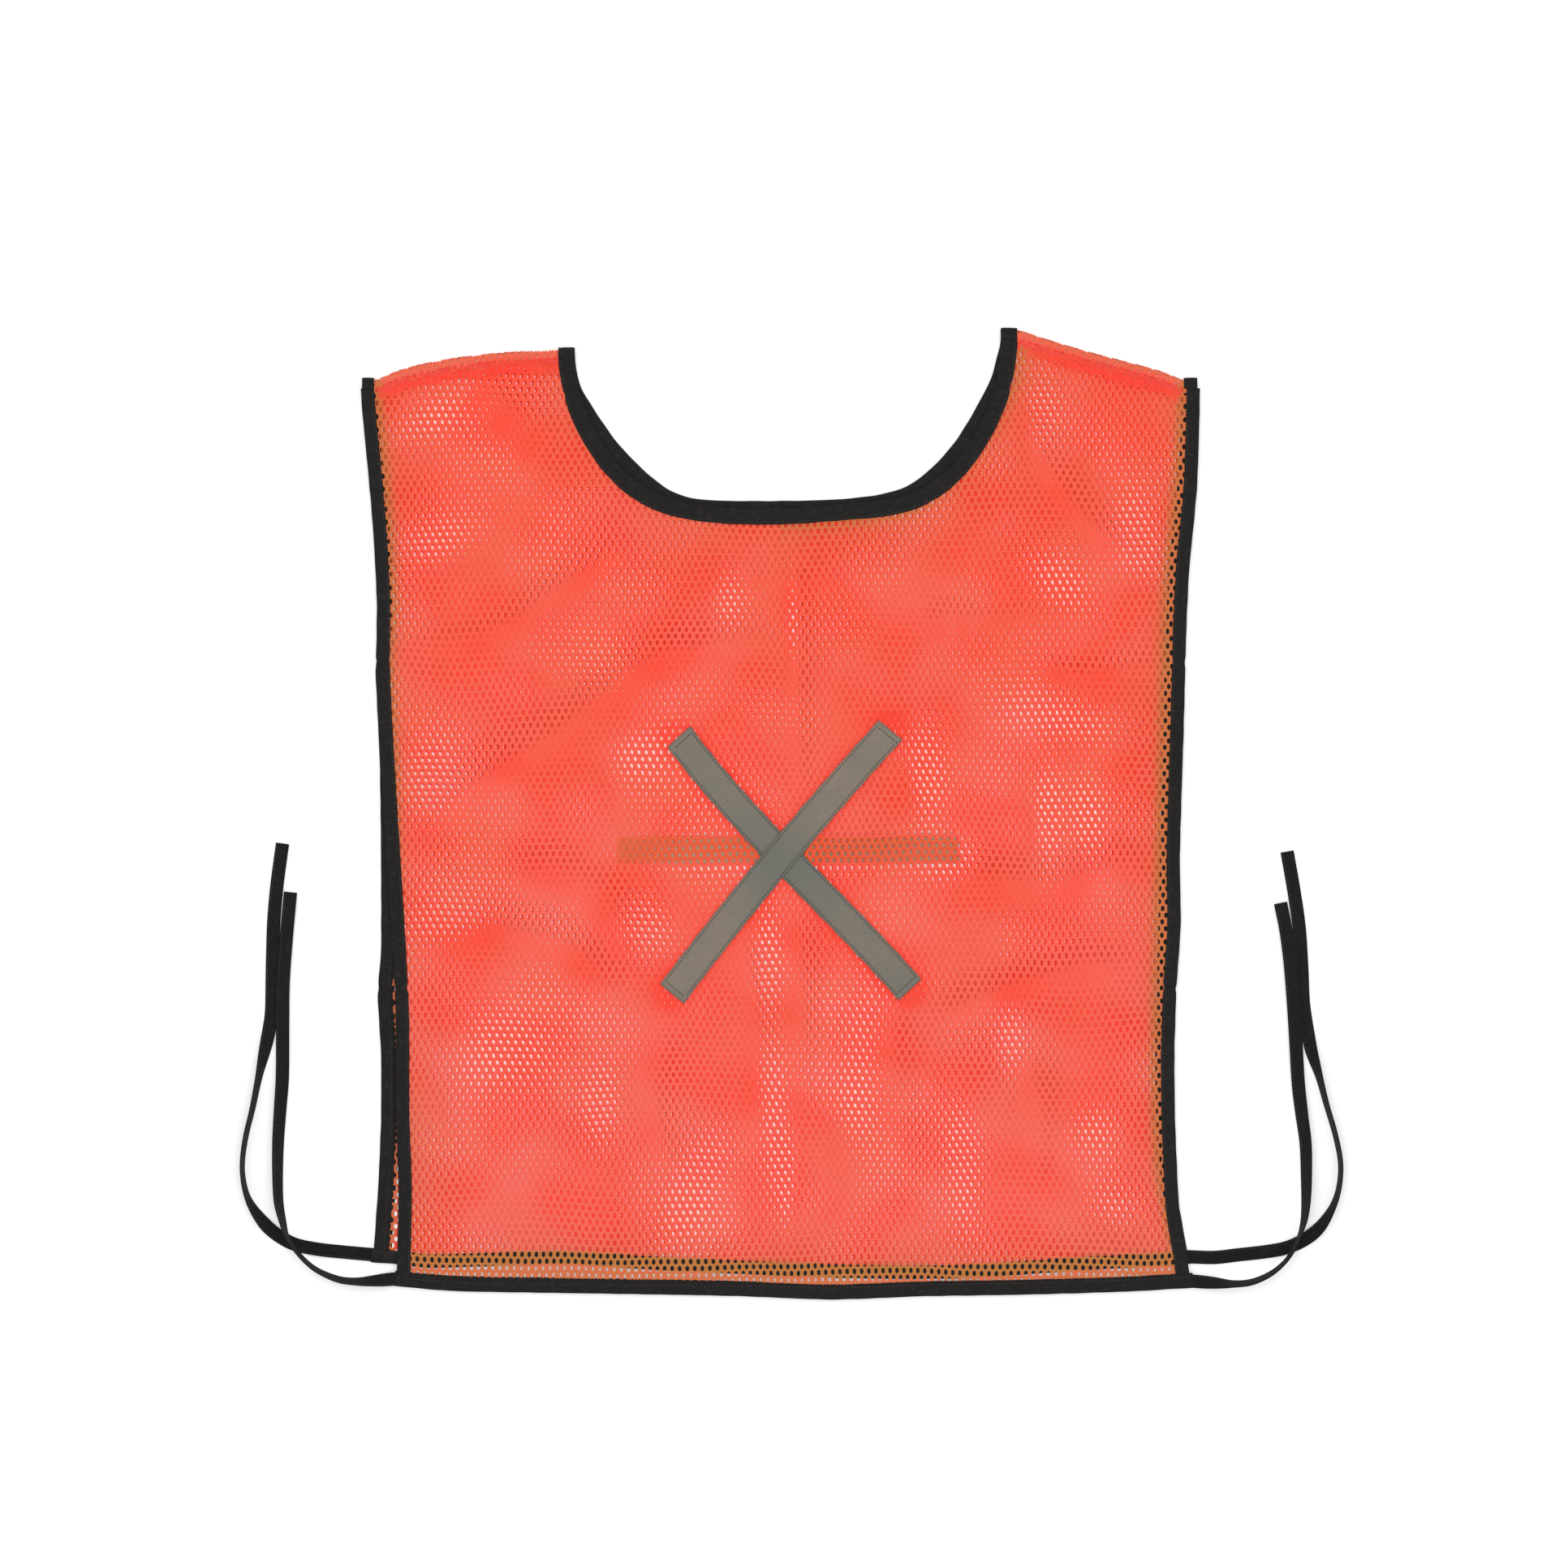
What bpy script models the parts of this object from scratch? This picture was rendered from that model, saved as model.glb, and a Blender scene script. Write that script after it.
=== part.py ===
"""High visibility vest: a pull-over mesh tabard lying flat, front panel up.

Two sheets of open mesh, joined along rolled shoulder seams, are bound with folded
tape all round.  Four tape ties run on from the hem corners.  The front carries two
crossed reflective strips and the outside of the back one level reflective bar.

Frame: +Y runs up the vest to the shoulders, +Z out of the front, origin under the
middle of the vest on the surface that it lies on.  Lists are in millimetres.
"""

from math import cos, pi, sin

import bmesh
import bpy
from mathutils import Vector

MM = 0.001

# Driving dimensions, in millimetres.
TAPE_WIDTH = 10.0
NECK_TAPE_WIDTH = 12.0
TAPE_WALL = 0.5
TAPE_STACK = 2.0
CLOTH = 0.4
CLOTH_INSET = 3.0
STRIP_WIDTH = 20.5
STRIP_LENGTH = 253.0
STRIP_THICKNESS = 0.3
TIE_WIDTH = 10.0
TIE_THICKNESS = 0.9
GAP = 0.4
CORNER_GAP = 1.2

# Heights above the surface that the vest lies on.
BACK_LEVEL = TAPE_STACK / 2
FRONT_LEVEL = 9.0
ROLL_RADIUS = (FRONT_LEVEL - BACK_LEVEL) / 2
BAR_LEVEL = 0.25
STRIP_LEVEL = FRONT_LEVEL + CLOTH / 2 + 0.3 + STRIP_THICKNESS / 2
STRIP_HOP = STRIP_THICKNESS + 0.3
STRIP_HOP_HALF_LENGTH = 30.0

# The shoulder seam lies this far down the front from the top of the roll.
SEAM_DROP = 9.0

ROLL_STEPS = 8

# Each tape runs straight up and down the vest for this far at a shoulder seam.
STRAIGHT_END = 5.0

# Top of the rolled shoulders, between the side binding and the neck binding.
SHOULDER_LEFT = [(-298, 322.2), (-277, 331), (-241, 338.4), (-205, 342.4), (-164.5, 344.6)]
SHOULDER_RIGHT = [(297, 322.2), (281, 328.8), (227, 343.2), (199, 351.6), (176, 359.1)]

# Centre lines of the edge bindings, from the hem up to the shoulder.
SIDE_BACK_LEFT = [(-296, -329), (-292, -274), (-290, -226), (-290, -178), (-293, -130), (-290, -106),
                  (-290, -58), (-291, 38), (-294.5, 109), (-293, 133), (-292, 158), (-294, 206),
                  (-297, 242), (-301, 278), (-304, 317)]
SIDE_FRONT_LEFT = [(-278.5, -348), (-277, -274), (-279, -226), (-279, -154), (-280, -127), (-284, -58),
                   (-290, 38), (-293.5, 110), (-293, 158), (-295.5, 206), (-298.5, 242),
                   (-302, 278), (-304.9, 313)]
SIDE_BACK_RIGHT = [(296.5, -327), (291, -298), (286.5, -274), (283, -226), (282, -178), (283.5, -130),
                   (285, -58), (288, 62), (290, 134), (292, 182), (298.5, 242), (303, 317)]
SIDE_FRONT_RIGHT = [(298.5, -348), (294.5, -322), (290, -298), (288.5, -274), (286.5, -226), (286, -178),
                    (287.5, -130), (291, -82), (290, -34), (293, 62), (295, 140), (297, 182),
                    (303, 242), (304.9, 313)]

# Centre lines of the hem bindings, left to right.
HEM_BACK = [(-301, -326.5), (-280, -328), (-262, -331), (-163, -328), (-97, -332), (41, -338), (131, -338.5),
            (214, -333), (286, -329), (301.5, -327.5)]
HEM_FRONT = [(-283.5, -343.7), (-268, -345.6), (-241, -347.8), (-133, -349.5), (-25, -351.5),
             (38, -354.1), (101, -351.5), (173, -350.5), (263, -347.8), (303.5, -345.2)]

# Centre lines of the neck bindings, from the left shoulder round to the right one.
NECK_BACK = [(-158, 339.6), (-154.5, 315), (-143, 296), (-126, 271), (-101, 245.5), (-82, 232), (-60, 226),
             (-7, 225), (48, 226.5), (85, 232), (105, 241.5), (127, 262), (139, 278), (156, 308),
             (162.5, 321), (169.5, 354.1)]
NECK_FRONT = [(-158, 335.2), (-154.5, 311), (-144, 283.5), (-121, 250.5), (-91, 229.5), (-52, 221),
              (-1, 219.5), (50, 223), (79, 225.5), (98, 230), (124, 246), (145, 271.5), (161, 303),
              (166, 321), (169.5, 349.7)]

# Ties, from the hem corner to the free end: x, y, lean (0 flat to 1 on its edge) and the height
# that the tie's underside is raised above the surface.
TIE_BACK_LEFT = [(-302, -326, 0, .4), (-324, -324, 0, .2), (-342, -322, 0, .2), (-360, -318, 0, .2),
                 (-375, -309, .06, .2), (-385.5, -297, .5, .2), (-393, -284, .78, .2), (-396.5, -270, .85, .2),
                 (-397, -256, .85, .2), (-394.5, -238, .82, .2), (-389.5, -217, .8, .2),
                 (-384.5, -192, .7, .2), (-380, -171, .3, .2), (-377.5, -157, 0, .2), (-376, -144, 0, .2),
                 (-375.5, -114, 0, .2), (-374.5, -80, 0, .2), (-372, -52, 0, .2), (-368, -22, 0, .2)]
TIE_FRONT_LEFT = [(-284.6, -343.7, 0, 8.5), (-298, -344.6, .4, 6), (-312, -345.2, .68, 3.6),
                  (-326, -343.6, .76, 2.2), (-341, -337.3, .84, 2.2), (-350.5, -330, .88, 2.3),
                  (-358, -321.5, .9, 2.4), (-363.5, -313.5, .9, 2.4), (-367, -302, .75, 1.9),
                  (-370.4, -286, .58, 1), (-371.2, -263, .48, .6), (-370.8, -240, .38, .4),
                  (-369.4, -217, .28, .4), (-368, -194, .12, .8), (-367.8, -160, 0, 1.5),
                  (-367.4, -125, 0, 1.5), (-365, -91, 0, 1.5), (-362, -58, 0, 1.5)]
TIE_BACK_RIGHT = [(302.5, -327.5, 0, .4), (321, -328, 0, .2), (339, -326, 0, .2), (357, -324, 0, .2),
                  (373.5, -321, 0, .2), (387, -315, .05, .2), (398, -306, .38, .2), (406, -294, .7, .2),
                  (411, -282, .82, .2), (413.5, -268, .85, .2), (413.2, -254, .84, .2),
                  (409.2, -235, .82, .2), (403.3, -215, .8, .2), (397.8, -194, .7, .2),
                  (392, -174, .3, .2), (389, -157, 0, .2), (386.5, -139, 0, .2), (385.4, -114, 0, .2),
                  (383.4, -84, 0, .2), (379.4, -56, 0, .2), (374.5, -28, 0, .2)]
TIE_FRONT_RIGHT = [(304.6, -345.2, 0, 8.5), (318, -346.2, .34, 6.4), (333, -347, .7, 3.6),
                   (347, -345.8, .78, 2.4), (361, -340, .84, 2.2), (371.5, -331.5, .9, 2.4),
                   (378.4, -322, .9, 2.4), (383.2, -311, .9, 2.4), (386.6, -299.5, .75, 1.9),
                   (388.1, -286, .6, 1), (388.5, -268, .46, .6), (388, -244, .36, .4),
                   (385.2, -222, .26, .4), (382.6, -199, .1, .9), (381, -171, 0, 1.5), (379, -139, 0, 1.5),
                   (376.5, -109, 0, 1.5), (373.5, -86, 0, 1.5), (369.5, -66, 0, 1.5)]

LEVELS = {"back": BACK_LEVEL, "front": FRONT_LEVEL}
SHOULDERS = {"left": SHOULDER_LEFT, "right": SHOULDER_RIGHT}
HEMS = {"back": HEM_BACK, "front": HEM_FRONT}
NECKS = {"back": NECK_BACK, "front": NECK_FRONT}
SIDES = {("back", "left"): SIDE_BACK_LEFT, ("back", "right"): SIDE_BACK_RIGHT,
         ("front", "left"): SIDE_FRONT_LEFT, ("front", "right"): SIDE_FRONT_RIGHT}
TIES = {"tie_back_left": TIE_BACK_LEFT, "tie_front_left": TIE_FRONT_LEFT,
        "tie_back_right": TIE_BACK_RIGHT, "tie_front_right": TIE_FRONT_RIGHT}

# Reflective pieces: the middle of each one, and the angle it lies at from level.
UNDER_STRIP_MIDDLE = (9.3, -37.6)
UNDER_STRIP_ANGLE = -pi * 47.9 / 180
OVER_STRIP_MIDDLE = (-0.4, -34.8)
OVER_STRIP_ANGLE = pi * 50.0 / 180
BAR_MIDDLE = (5.4, -26.6)
BAR_ANGLE = 0.0

HIGH_VIS_RED = (0.94, 0.13, 0.09, 1)
TAPE_BLACK = (0.026, 0.02, 0.018, 1)
REFLECTIVE_GREY = (0.19, 0.18, 0.16, 1)

parts = None


def clear_scene():
    """Remove what the scene holds and make the collection that the parts go in."""
    global parts
    for item in list(bpy.data.objects):
        bpy.data.objects.remove(item, do_unlink=True)
    parts = bpy.data.collections.new("high_visibility_vest")
    bpy.context.scene.collection.children.link(parts)


def finish_part(name, data, colour, roughness):
    """Put the data in the parts' collection as a named object with its own material."""
    material = bpy.data.materials.new(name)
    material.use_nodes = True
    shader = material.node_tree.nodes["Principled BSDF"]
    shader.inputs["Base Color"].default_value = colour
    shader.inputs["Roughness"].default_value = roughness
    data.materials.append(material)
    part = bpy.data.objects.new(name, data)
    parts.objects.link(part)
    return part


def smooth_route(points, step):
    """Return points about a step apart along a smooth curve through the given points."""
    knots = [Vector(p) for p in points]
    knots = [knots[0] * 2 - knots[1]] + knots + [knots[-1] * 2 - knots[-2]]
    route = []
    for before, start, end, after in zip(knots, knots[1:], knots[2:], knots[3:]):
        pieces = max(1, round((end - start).length / step))
        for k in range(pieces):
            t = k / pieces
            route.append(0.5 * (2 * start + (end - before) * t
                                + (2 * before - 5 * start + 4 * end - after) * t * t
                                + (3 * start - before - 3 * end + after) * t ** 3))
    return route + [knots[-2]]


def directions(route):
    """Return the unit direction of the route at each of its points."""
    ahead = route[1:] + [route[-1] * 2 - route[-2]]
    behind = [route[0] * 2 - route[1]] + route[:-1]
    return [(a - b).normalized() for a, b in zip(ahead, behind)]


def shifted(route, distance):
    """Return a flat route moved sideways, to the left of its direction."""
    return [p + Vector((-d.y, d.x)) * distance for p, d in zip(route, directions(route))]


def raised(route, level):
    """Return a flat route as points in space at one level."""
    return [Vector((p.x, p.y, level)) for p in route]


def with_straight_end(route, end):
    """Return a route whose upward end stops at the height end, with its last stretch along Y."""
    x = route[-1].x
    kept = list(route)
    while kept[-1].y > end - 2 * STRAIGHT_END:
        kept.pop()
    return kept + [Vector((x, end - STRAIGHT_END)), Vector((x, end))]


def roll_line(x, top):
    """Return the centre line of a tape that rolls over a shoulder at x, from back to front seam."""
    axis_y = top - TAPE_STACK / 2 - ROLL_RADIUS
    line = []
    for k in range(1, ROLL_STEPS + 1):
        turn = pi * k / ROLL_STEPS
        rise = ROLL_RADIUS * (1 - cos(turn))
        line.append(Vector((x, axis_y + ROLL_RADIUS * sin(turn), BACK_LEVEL + rise)))
    return line + [Vector((x, top - SEAM_DROP, FRONT_LEVEL))]


def binding(name, line, inward, width):
    """Fold a tape lengthwise round an edge: a U section swept along the line.

    inward holds, for each point, the direction in which the slot for the cloth opens.
    """
    slot_half = (TAPE_STACK - TAPE_WALL) / 2
    fold = -(width - TAPE_WALL) / 2
    section = [(width / 2, -slot_half), (fold, -slot_half), (fold, slot_half), (width / 2, slot_half)]
    mesh = bpy.data.meshes.new(name)
    work = bmesh.new()
    bmesh.ops.create_grid(work, x_segments=3, y_segments=len(line) - 1, size=1)
    work.verts.ensure_lookup_table()
    for row, (point, ahead, across) in enumerate(zip(line, directions(line), inward)):
        across = (across - ahead * across.dot(ahead)).normalized()
        upward = across.cross(ahead)
        for column, (sideways, height) in enumerate(section):
            spot = point + across * sideways + upward * height
            work.verts[row * 4 + column].co = spot * MM
    bmesh.ops.recalc_face_normals(work, faces=work.faces)
    work.to_mesh(mesh)
    work.free()
    part = finish_part(name, mesh, TAPE_BLACK, 0.85)
    wall = part.modifiers.new("tape", "SOLIDIFY")
    wall.thickness = TAPE_WALL * MM
    wall.offset = 0
    wall.use_even_offset = True
    return part


def flat_inward(line, side):
    """Return the direction across a line, to the left of it if side is 1, at each point."""
    return [Vector((-d.y, d.x, 0)) * side for d in directions(line)]


def trimmed(route, low):
    """Return the part of an upward route above a level, starting exactly on it."""
    above = [p for p in route if p.y > low + 1.0]
    cut = route[len(route) - len(above) - 1]
    start = above[0] + (cut - above[0]) * ((low - above[0].y) / (cut.y - above[0].y))
    return [start] + above


def height_at(route, x):
    """Return a route's y where it passes x."""
    for a, b in zip(route, route[1:]):
        if min(a.x, b.x) <= x <= max(a.x, b.x):
            return a.y + (b.y - a.y) * (x - a.x) / (b.x - a.x)
    return route[0].y if abs(route[0].x - x) < abs(route[-1].x - x) else route[-1].y


def shoulder_line(side_x, neck_x, shoulder, drop):
    """Return the line across a shoulder, level inside the tapes at its two ends."""
    route = smooth_route(shoulder, 14)
    route = [Vector((side_x, route[0].y))] + route + [Vector((neck_x, route[-1].y))]
    return [p - Vector((0, drop)) for p in route]


def panel_outline(hem, left, right, neck, drop):
    """Return a panel's closed outline, and where its two shoulder edges run in it."""
    left_edge = shifted(left, CLOTH_INSET)
    right_edge = shifted(right, -CLOTH_INSET)
    neck_edge = shifted(neck, CLOTH_INSET)
    hem_edge = shifted(hem, -CLOTH_INSET)
    low_left = Vector((left_edge[0].x, height_at(hem_edge, left_edge[0].x)))
    low_right = Vector((right_edge[0].x, height_at(hem_edge, right_edge[0].x)))
    inner_hem = [p for p in hem_edge if low_left.x + 2 < p.x < low_right.x - 2]
    over_right = shoulder_line(right_edge[-1].x, neck_edge[-1].x, SHOULDER_RIGHT, drop)
    over_left = shoulder_line(left_edge[-1].x, neck_edge[0].x, SHOULDER_LEFT, drop)
    outline = [low_left] + inner_hem + [low_right]
    outline += [p for p in right_edge if p.y < over_right[0].y - 2 and p.y > low_right.y + 2]
    right_start = len(outline)
    outline += over_right
    outline += [p for p in reversed(neck_edge) if not (p.x > 100 and p.y > over_right[-1].y - 2)
                and not (p.x < -100 and p.y > over_left[-1].y - 2)]
    left_start = len(outline)
    outline += list(reversed(over_left))
    outline += [p for p in reversed(left_edge) if p.y < over_left[0].y - 2 and p.y > low_left.y + 2]
    edges = [(right_start, len(over_right)), (left_start, len(over_left))]
    return outline, edges


def flat_panel(name, outline):
    """Cut the front panel: one sheet filling the outline."""
    curve = bpy.data.curves.new(name, "CURVE")
    curve.dimensions = "2D"
    curve.fill_mode = "BOTH"
    curve.extrude = CLOTH / 2 * MM
    spline = curve.splines.new("POLY")
    spline.points.add(len(outline) - 1)
    for point, spot in zip(spline.points, outline):
        point.co = (spot.x * MM, spot.y * MM, 0, 1)
    spline.use_cyclic_u = True
    part = finish_part(name, curve, HIGH_VIS_RED, 0.75)
    part.location.z = FRONT_LEVEL * MM
    return part


def rolled_panel(name, outline, shoulder_edges):
    """Cut the back panel, with its two shoulder edges rolled up and over to the front seam."""
    mesh = bpy.data.meshes.new(name)
    work = bmesh.new()
    corners = [work.verts.new(Vector((p.x, p.y, BACK_LEVEL)) * MM) for p in outline]
    work.faces.new(corners)
    for first, count in shoulder_edges:
        row = corners[first:first + count]
        base = [vert.co.copy() for vert in row]
        stops = [(ROLL_RADIUS * sin(pi * k / ROLL_STEPS), ROLL_RADIUS * (1 - cos(pi * k / ROLL_STEPS)))
                 for k in range(1, ROLL_STEPS + 1)]
        stops.append((ROLL_RADIUS + TAPE_STACK / 2 - SEAM_DROP, 2 * ROLL_RADIUS))
        for forward, rise in stops:
            edges = [work.edges.get((a, b)) for a, b in zip(row, row[1:])]
            made = bmesh.ops.extrude_edge_only(work, edges=edges)["geom"]
            fresh = [item for item in made if isinstance(item, bmesh.types.BMVert)]
            row = sorted(fresh, key=lambda vert: vert.co.x)
            if base[0].x > base[-1].x:
                row.reverse()
            for vert, foot in zip(row, base):
                vert.co = foot + Vector((0, forward, rise)) * MM
    bmesh.ops.recalc_face_normals(work, faces=work.faces)
    bmesh.ops.triangulate(work, faces=work.faces)
    work.to_mesh(mesh)
    work.free()
    part = finish_part(name, mesh, HIGH_VIS_RED, 0.75)
    sheet = part.modifiers.new("cloth", "SOLIDIFY")
    sheet.thickness = CLOTH * MM
    sheet.offset = 0
    sheet.use_even_offset = True
    return part


def reflective_piece(name, middle, angle, level, hop):
    """Lay a straight strip of tape, which may hop over another one at its middle."""
    half = STRIP_LENGTH / 2
    stops = [-half, -2 * STRIP_HOP_HALF_LENGTH, -STRIP_HOP_HALF_LENGTH, -20, -14, 0, 14, 20,
             STRIP_HOP_HALF_LENGTH, 2 * STRIP_HOP_HALF_LENGTH, half]
    if not hop:
        stops = [-half, half]
    along = Vector((cos(angle), sin(angle), 0))
    across = Vector((-sin(angle), cos(angle), 0))
    centre = Vector((middle[0], middle[1], level))
    mesh = bpy.data.meshes.new(name)
    work = bmesh.new()
    bmesh.ops.create_grid(work, x_segments=1, y_segments=len(stops) - 1, size=1)
    work.verts.ensure_lookup_table()
    for row, stop in enumerate(stops):
        rise = hop * min(1.0, max(0.0, (STRIP_HOP_HALF_LENGTH - abs(stop)) / 12))
        for column, sideways in enumerate((-STRIP_WIDTH / 2, STRIP_WIDTH / 2)):
            spot = centre + along * stop + across * sideways + Vector((0, 0, rise))
            work.verts[row * 2 + column].co = spot * MM
    bmesh.ops.recalc_face_normals(work, faces=work.faces)
    work.to_mesh(mesh)
    work.free()
    part = finish_part(name, mesh, REFLECTIVE_GREY, 0.45)
    sheet = part.modifiers.new("tape", "SOLIDIFY")
    sheet.thickness = STRIP_THICKNESS * MM
    sheet.offset = 0
    return part


def tie(name, points):
    """Lay a tape tie that twists from flat to its edge and back along its way."""
    route = smooth_route(points, 8.0)
    curve = bpy.data.curves.new(name, "CURVE")
    curve.dimensions = "3D"
    curve.twist_mode = "Z_UP"
    curve.bevel_depth = TIE_THICKNESS / 2 * MM
    curve.bevel_resolution = 0
    curve.extrude = (TIE_WIDTH - TIE_THICKNESS) / 2 * MM
    curve.use_fill_caps = True
    spline = curve.splines.new("POLY")
    spline.points.add(len(route) - 1)
    for point, (x, y, lean, lift) in zip(spline.points, route):
        upright = min(1.0, max(0.0, lean)) * pi / 2
        height = max(0.1, lift) + (TIE_THICKNESS * cos(upright) + TIE_WIDTH * sin(upright)) / 2
        point.co = (x * MM, y * MM, height * MM, 1)
        point.tilt = pi / 2 - upright
    return finish_part(name, curve, TAPE_BLACK, 0.85)


def shoulder_end(layer, top):
    """Return where a layer's tape leaves the flat at a shoulder whose roll has this top."""
    if layer == "back":
        return top - TAPE_STACK / 2 - ROLL_RADIUS
    return top - SEAM_DROP - GAP


def side_route(layer, hand, hem):
    """Return the flat centre line of one side binding, from the hem binding to the shoulder."""
    route = smooth_route(SIDES[layer, hand], 40)
    route = trimmed(route, height_at(hem, route[0].x) + TAPE_WIDTH / 2 + CORNER_GAP)
    return with_straight_end(route, shoulder_end(layer, SHOULDERS[hand][0][1]))


def neck_route(layer):
    """Return the flat centre line of one neck binding, from left to right."""
    route = smooth_route(NECKS[layer], 14)
    route = with_straight_end(route, shoulder_end(layer, SHOULDER_RIGHT[-1][1]))
    route.reverse()
    route = with_straight_end(route, shoulder_end(layer, SHOULDER_LEFT[-1][1]))
    route.reverse()
    return route


def build_bindings(layer, hem, sides, neck):
    """Fold the tapes round one panel: the hem, the two sides and the neck."""
    level = LEVELS[layer]
    line = raised(hem, level)
    binding("hem_binding_" + layer, line, flat_inward(line, 1), TAPE_WIDTH)
    for hand, side in (("left", -1), ("right", 1)):
        line = raised(sides[hand], level)
        inward = flat_inward(line, side)
        if layer == "back":
            line += roll_line(line[-1].x, SHOULDERS[hand][0][1])
        inward += [Vector((-side, 0, 0))] * (len(line) - len(inward))
        binding("side_binding_" + layer + "_" + hand, line, inward, TAPE_WIDTH)
    line = raised(neck, level)
    inward = flat_inward(line, -1)
    if layer == "back":
        over_left = roll_line(line[0].x, SHOULDER_LEFT[-1][1])
        over_right = roll_line(line[-1].x, SHOULDER_RIGHT[-1][1])
        line = over_left[::-1] + line + over_right
        inward = [Vector((-1, 0, 0))] * len(over_left) + inward + [Vector((1, 0, 0))] * len(over_right)
    binding("neck_binding_" + layer, line, inward, NECK_TAPE_WIDTH)


def build():
    """Make every part of the vest."""
    clear_scene()
    for layer in LEVELS:
        hem = smooth_route(HEMS[layer], 40)
        sides = {hand: side_route(layer, hand, hem) for hand in SHOULDERS}
        neck = neck_route(layer)
        build_bindings(layer, hem, sides, neck)
        drop = TAPE_STACK / 2 + ROLL_RADIUS if layer == "back" else SEAM_DROP + GAP
        outline, shoulder_edges = panel_outline(hem, sides["left"], sides["right"], neck, drop)
        if layer == "back":
            rolled_panel("back_mesh_panel", outline, shoulder_edges)
        else:
            flat_panel("front_mesh_panel", outline)
    reflective_piece("reflective_strip_under", UNDER_STRIP_MIDDLE, UNDER_STRIP_ANGLE, STRIP_LEVEL, 0)
    reflective_piece("reflective_strip_over", OVER_STRIP_MIDDLE, OVER_STRIP_ANGLE, STRIP_LEVEL, STRIP_HOP)
    reflective_piece("reflective_bar_back", BAR_MIDDLE, BAR_ANGLE, BAR_LEVEL, 0)
    for name, points in TIES.items():
        tie(name, points)


build()
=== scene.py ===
"""Looks of the high visibility vest, laid flat with its front up.

Each panel is real open mesh, hole by hole.  Every soft piece of a layer takes its
height from that layer's cloth, so that tapes and strips lie on the cloth's folds.
Sizes are in metres, but for the tables that say otherwise.
"""

from math import cos, pi, radians, sin

import bmesh
import bpy
import numpy as np
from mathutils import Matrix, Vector
from numpy.linalg import norm


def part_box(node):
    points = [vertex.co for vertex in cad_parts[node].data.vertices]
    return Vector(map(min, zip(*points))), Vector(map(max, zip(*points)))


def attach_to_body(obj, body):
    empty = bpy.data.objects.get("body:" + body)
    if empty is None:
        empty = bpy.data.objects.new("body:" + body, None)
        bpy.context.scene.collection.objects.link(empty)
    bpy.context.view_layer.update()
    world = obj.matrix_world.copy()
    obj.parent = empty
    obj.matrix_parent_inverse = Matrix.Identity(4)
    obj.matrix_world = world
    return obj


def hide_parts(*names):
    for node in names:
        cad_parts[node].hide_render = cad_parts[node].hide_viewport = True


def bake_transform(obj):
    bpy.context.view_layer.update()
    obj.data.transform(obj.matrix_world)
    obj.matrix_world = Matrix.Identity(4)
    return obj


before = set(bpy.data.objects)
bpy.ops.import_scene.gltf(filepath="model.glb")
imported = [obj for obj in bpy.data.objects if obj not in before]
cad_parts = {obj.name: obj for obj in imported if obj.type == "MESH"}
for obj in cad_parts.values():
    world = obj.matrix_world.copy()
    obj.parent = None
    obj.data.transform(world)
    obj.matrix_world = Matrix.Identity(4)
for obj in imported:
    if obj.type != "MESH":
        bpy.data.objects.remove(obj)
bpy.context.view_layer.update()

# ------------ sizes

# The knit: rows of holes, with every second row moved across by half a pitch.
HOLE_PITCH = 0.0053
ROW_PITCH = 0.0050
HOLE_WIDTH = 0.0026
HOLE_HEIGHT = 0.0044
STRAND_ROUNDING = 0.00030

# Heights of the cloth, and the back's roll over the shoulders down to the seam on the front.
BACK_LEVEL = 0.0011
FRONT_LEVEL = 0.0029
FRONT_LOWEST, FRONT_HIGHEST = 0.0017, 0.0115
CLOTH_GAP = 0.0007
SHOULDER_ROLL = 0.0011
SEAM_DROP = 0.009
SEAM_GAP = 0.0015
SEAM_WIDTH = 0.0075
SEAM_LEVEL = 0.0034

# Tapes: UNDER_FOLD is how much further in the hidden side reaches, TUCK how far a tape runs
# under the next one, and STITCH_SHARE where its stitches run between its middle and its edge.
TAPE_THICKNESS = 0.0015
NECK_TAPE_WIDTH = 0.0122
TAPE_WIDTH = 0.0101
UNDER_FOLD = 0.0042
TUCK = 0.004
LINE_STEP = 0.003
STITCH_SHARE = 0.35
STITCH_PITCH = 0.0031
STITCH_LENGTH = 0.0027
STITCH_RADIUS = 0.00028
STITCH_SIDES = 6

# Reflective strips, with their stitches set in from the long edges and from the ends.
STRIP_THICKNESS = 0.00030
STRIP_LIFT = 0.0007
BAR_LIFT = -0.0005
STRIP_INSET = 0.0019
STRIP_END_INSET = 0.0042
TIE_WIDTH = 0.010
TIE_THICKNESS = 0.0010

# The mesh's deep red is painted shade with some random tone, its ochre is painted shade, and the beads'
# cool and warm greys are painted shade and painted light.
MESH_CORAL = (0.77, 0.104, 0.055)
MESH_PALE = (0.78, 0.130, 0.094)
MESH_SHADE_AND_TONE_RED = (0.82, 0.036, 0.015)
MESH_TAPE_SHADE_OCHRE = (0.43, 0.148, 0.030)
MESH_DARK = (0.66, 0.05, 0.04)
SEAM_DEEP = (0.90, 0.042, 0.020)
SEAM_BRIGHT = (0.92, 0.066, 0.036)
SEAM_FLAP = (0.86, 0.20, 0.11)
SEAM_DARK = (0.6, 0.03, 0.02)
TAPE_SHADES = [(0.0105, 0.0092, 0.0088), (0.0190, 0.0168, 0.0158), (0.036, 0.030, 0.027)]
TAPE_FUZZ = (0.030, 0.027, 0.025)
THREAD_SHADES = [(0.007, 0.0065, 0.0065), (0.030, 0.028, 0.027)]
BEADS_SHADED_COOL = (0.112, 0.116, 0.095)
BEADS_LIT_WARM = (0.200, 0.155, 0.113)
BEAD = (0.27, 0.26, 0.23)

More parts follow.
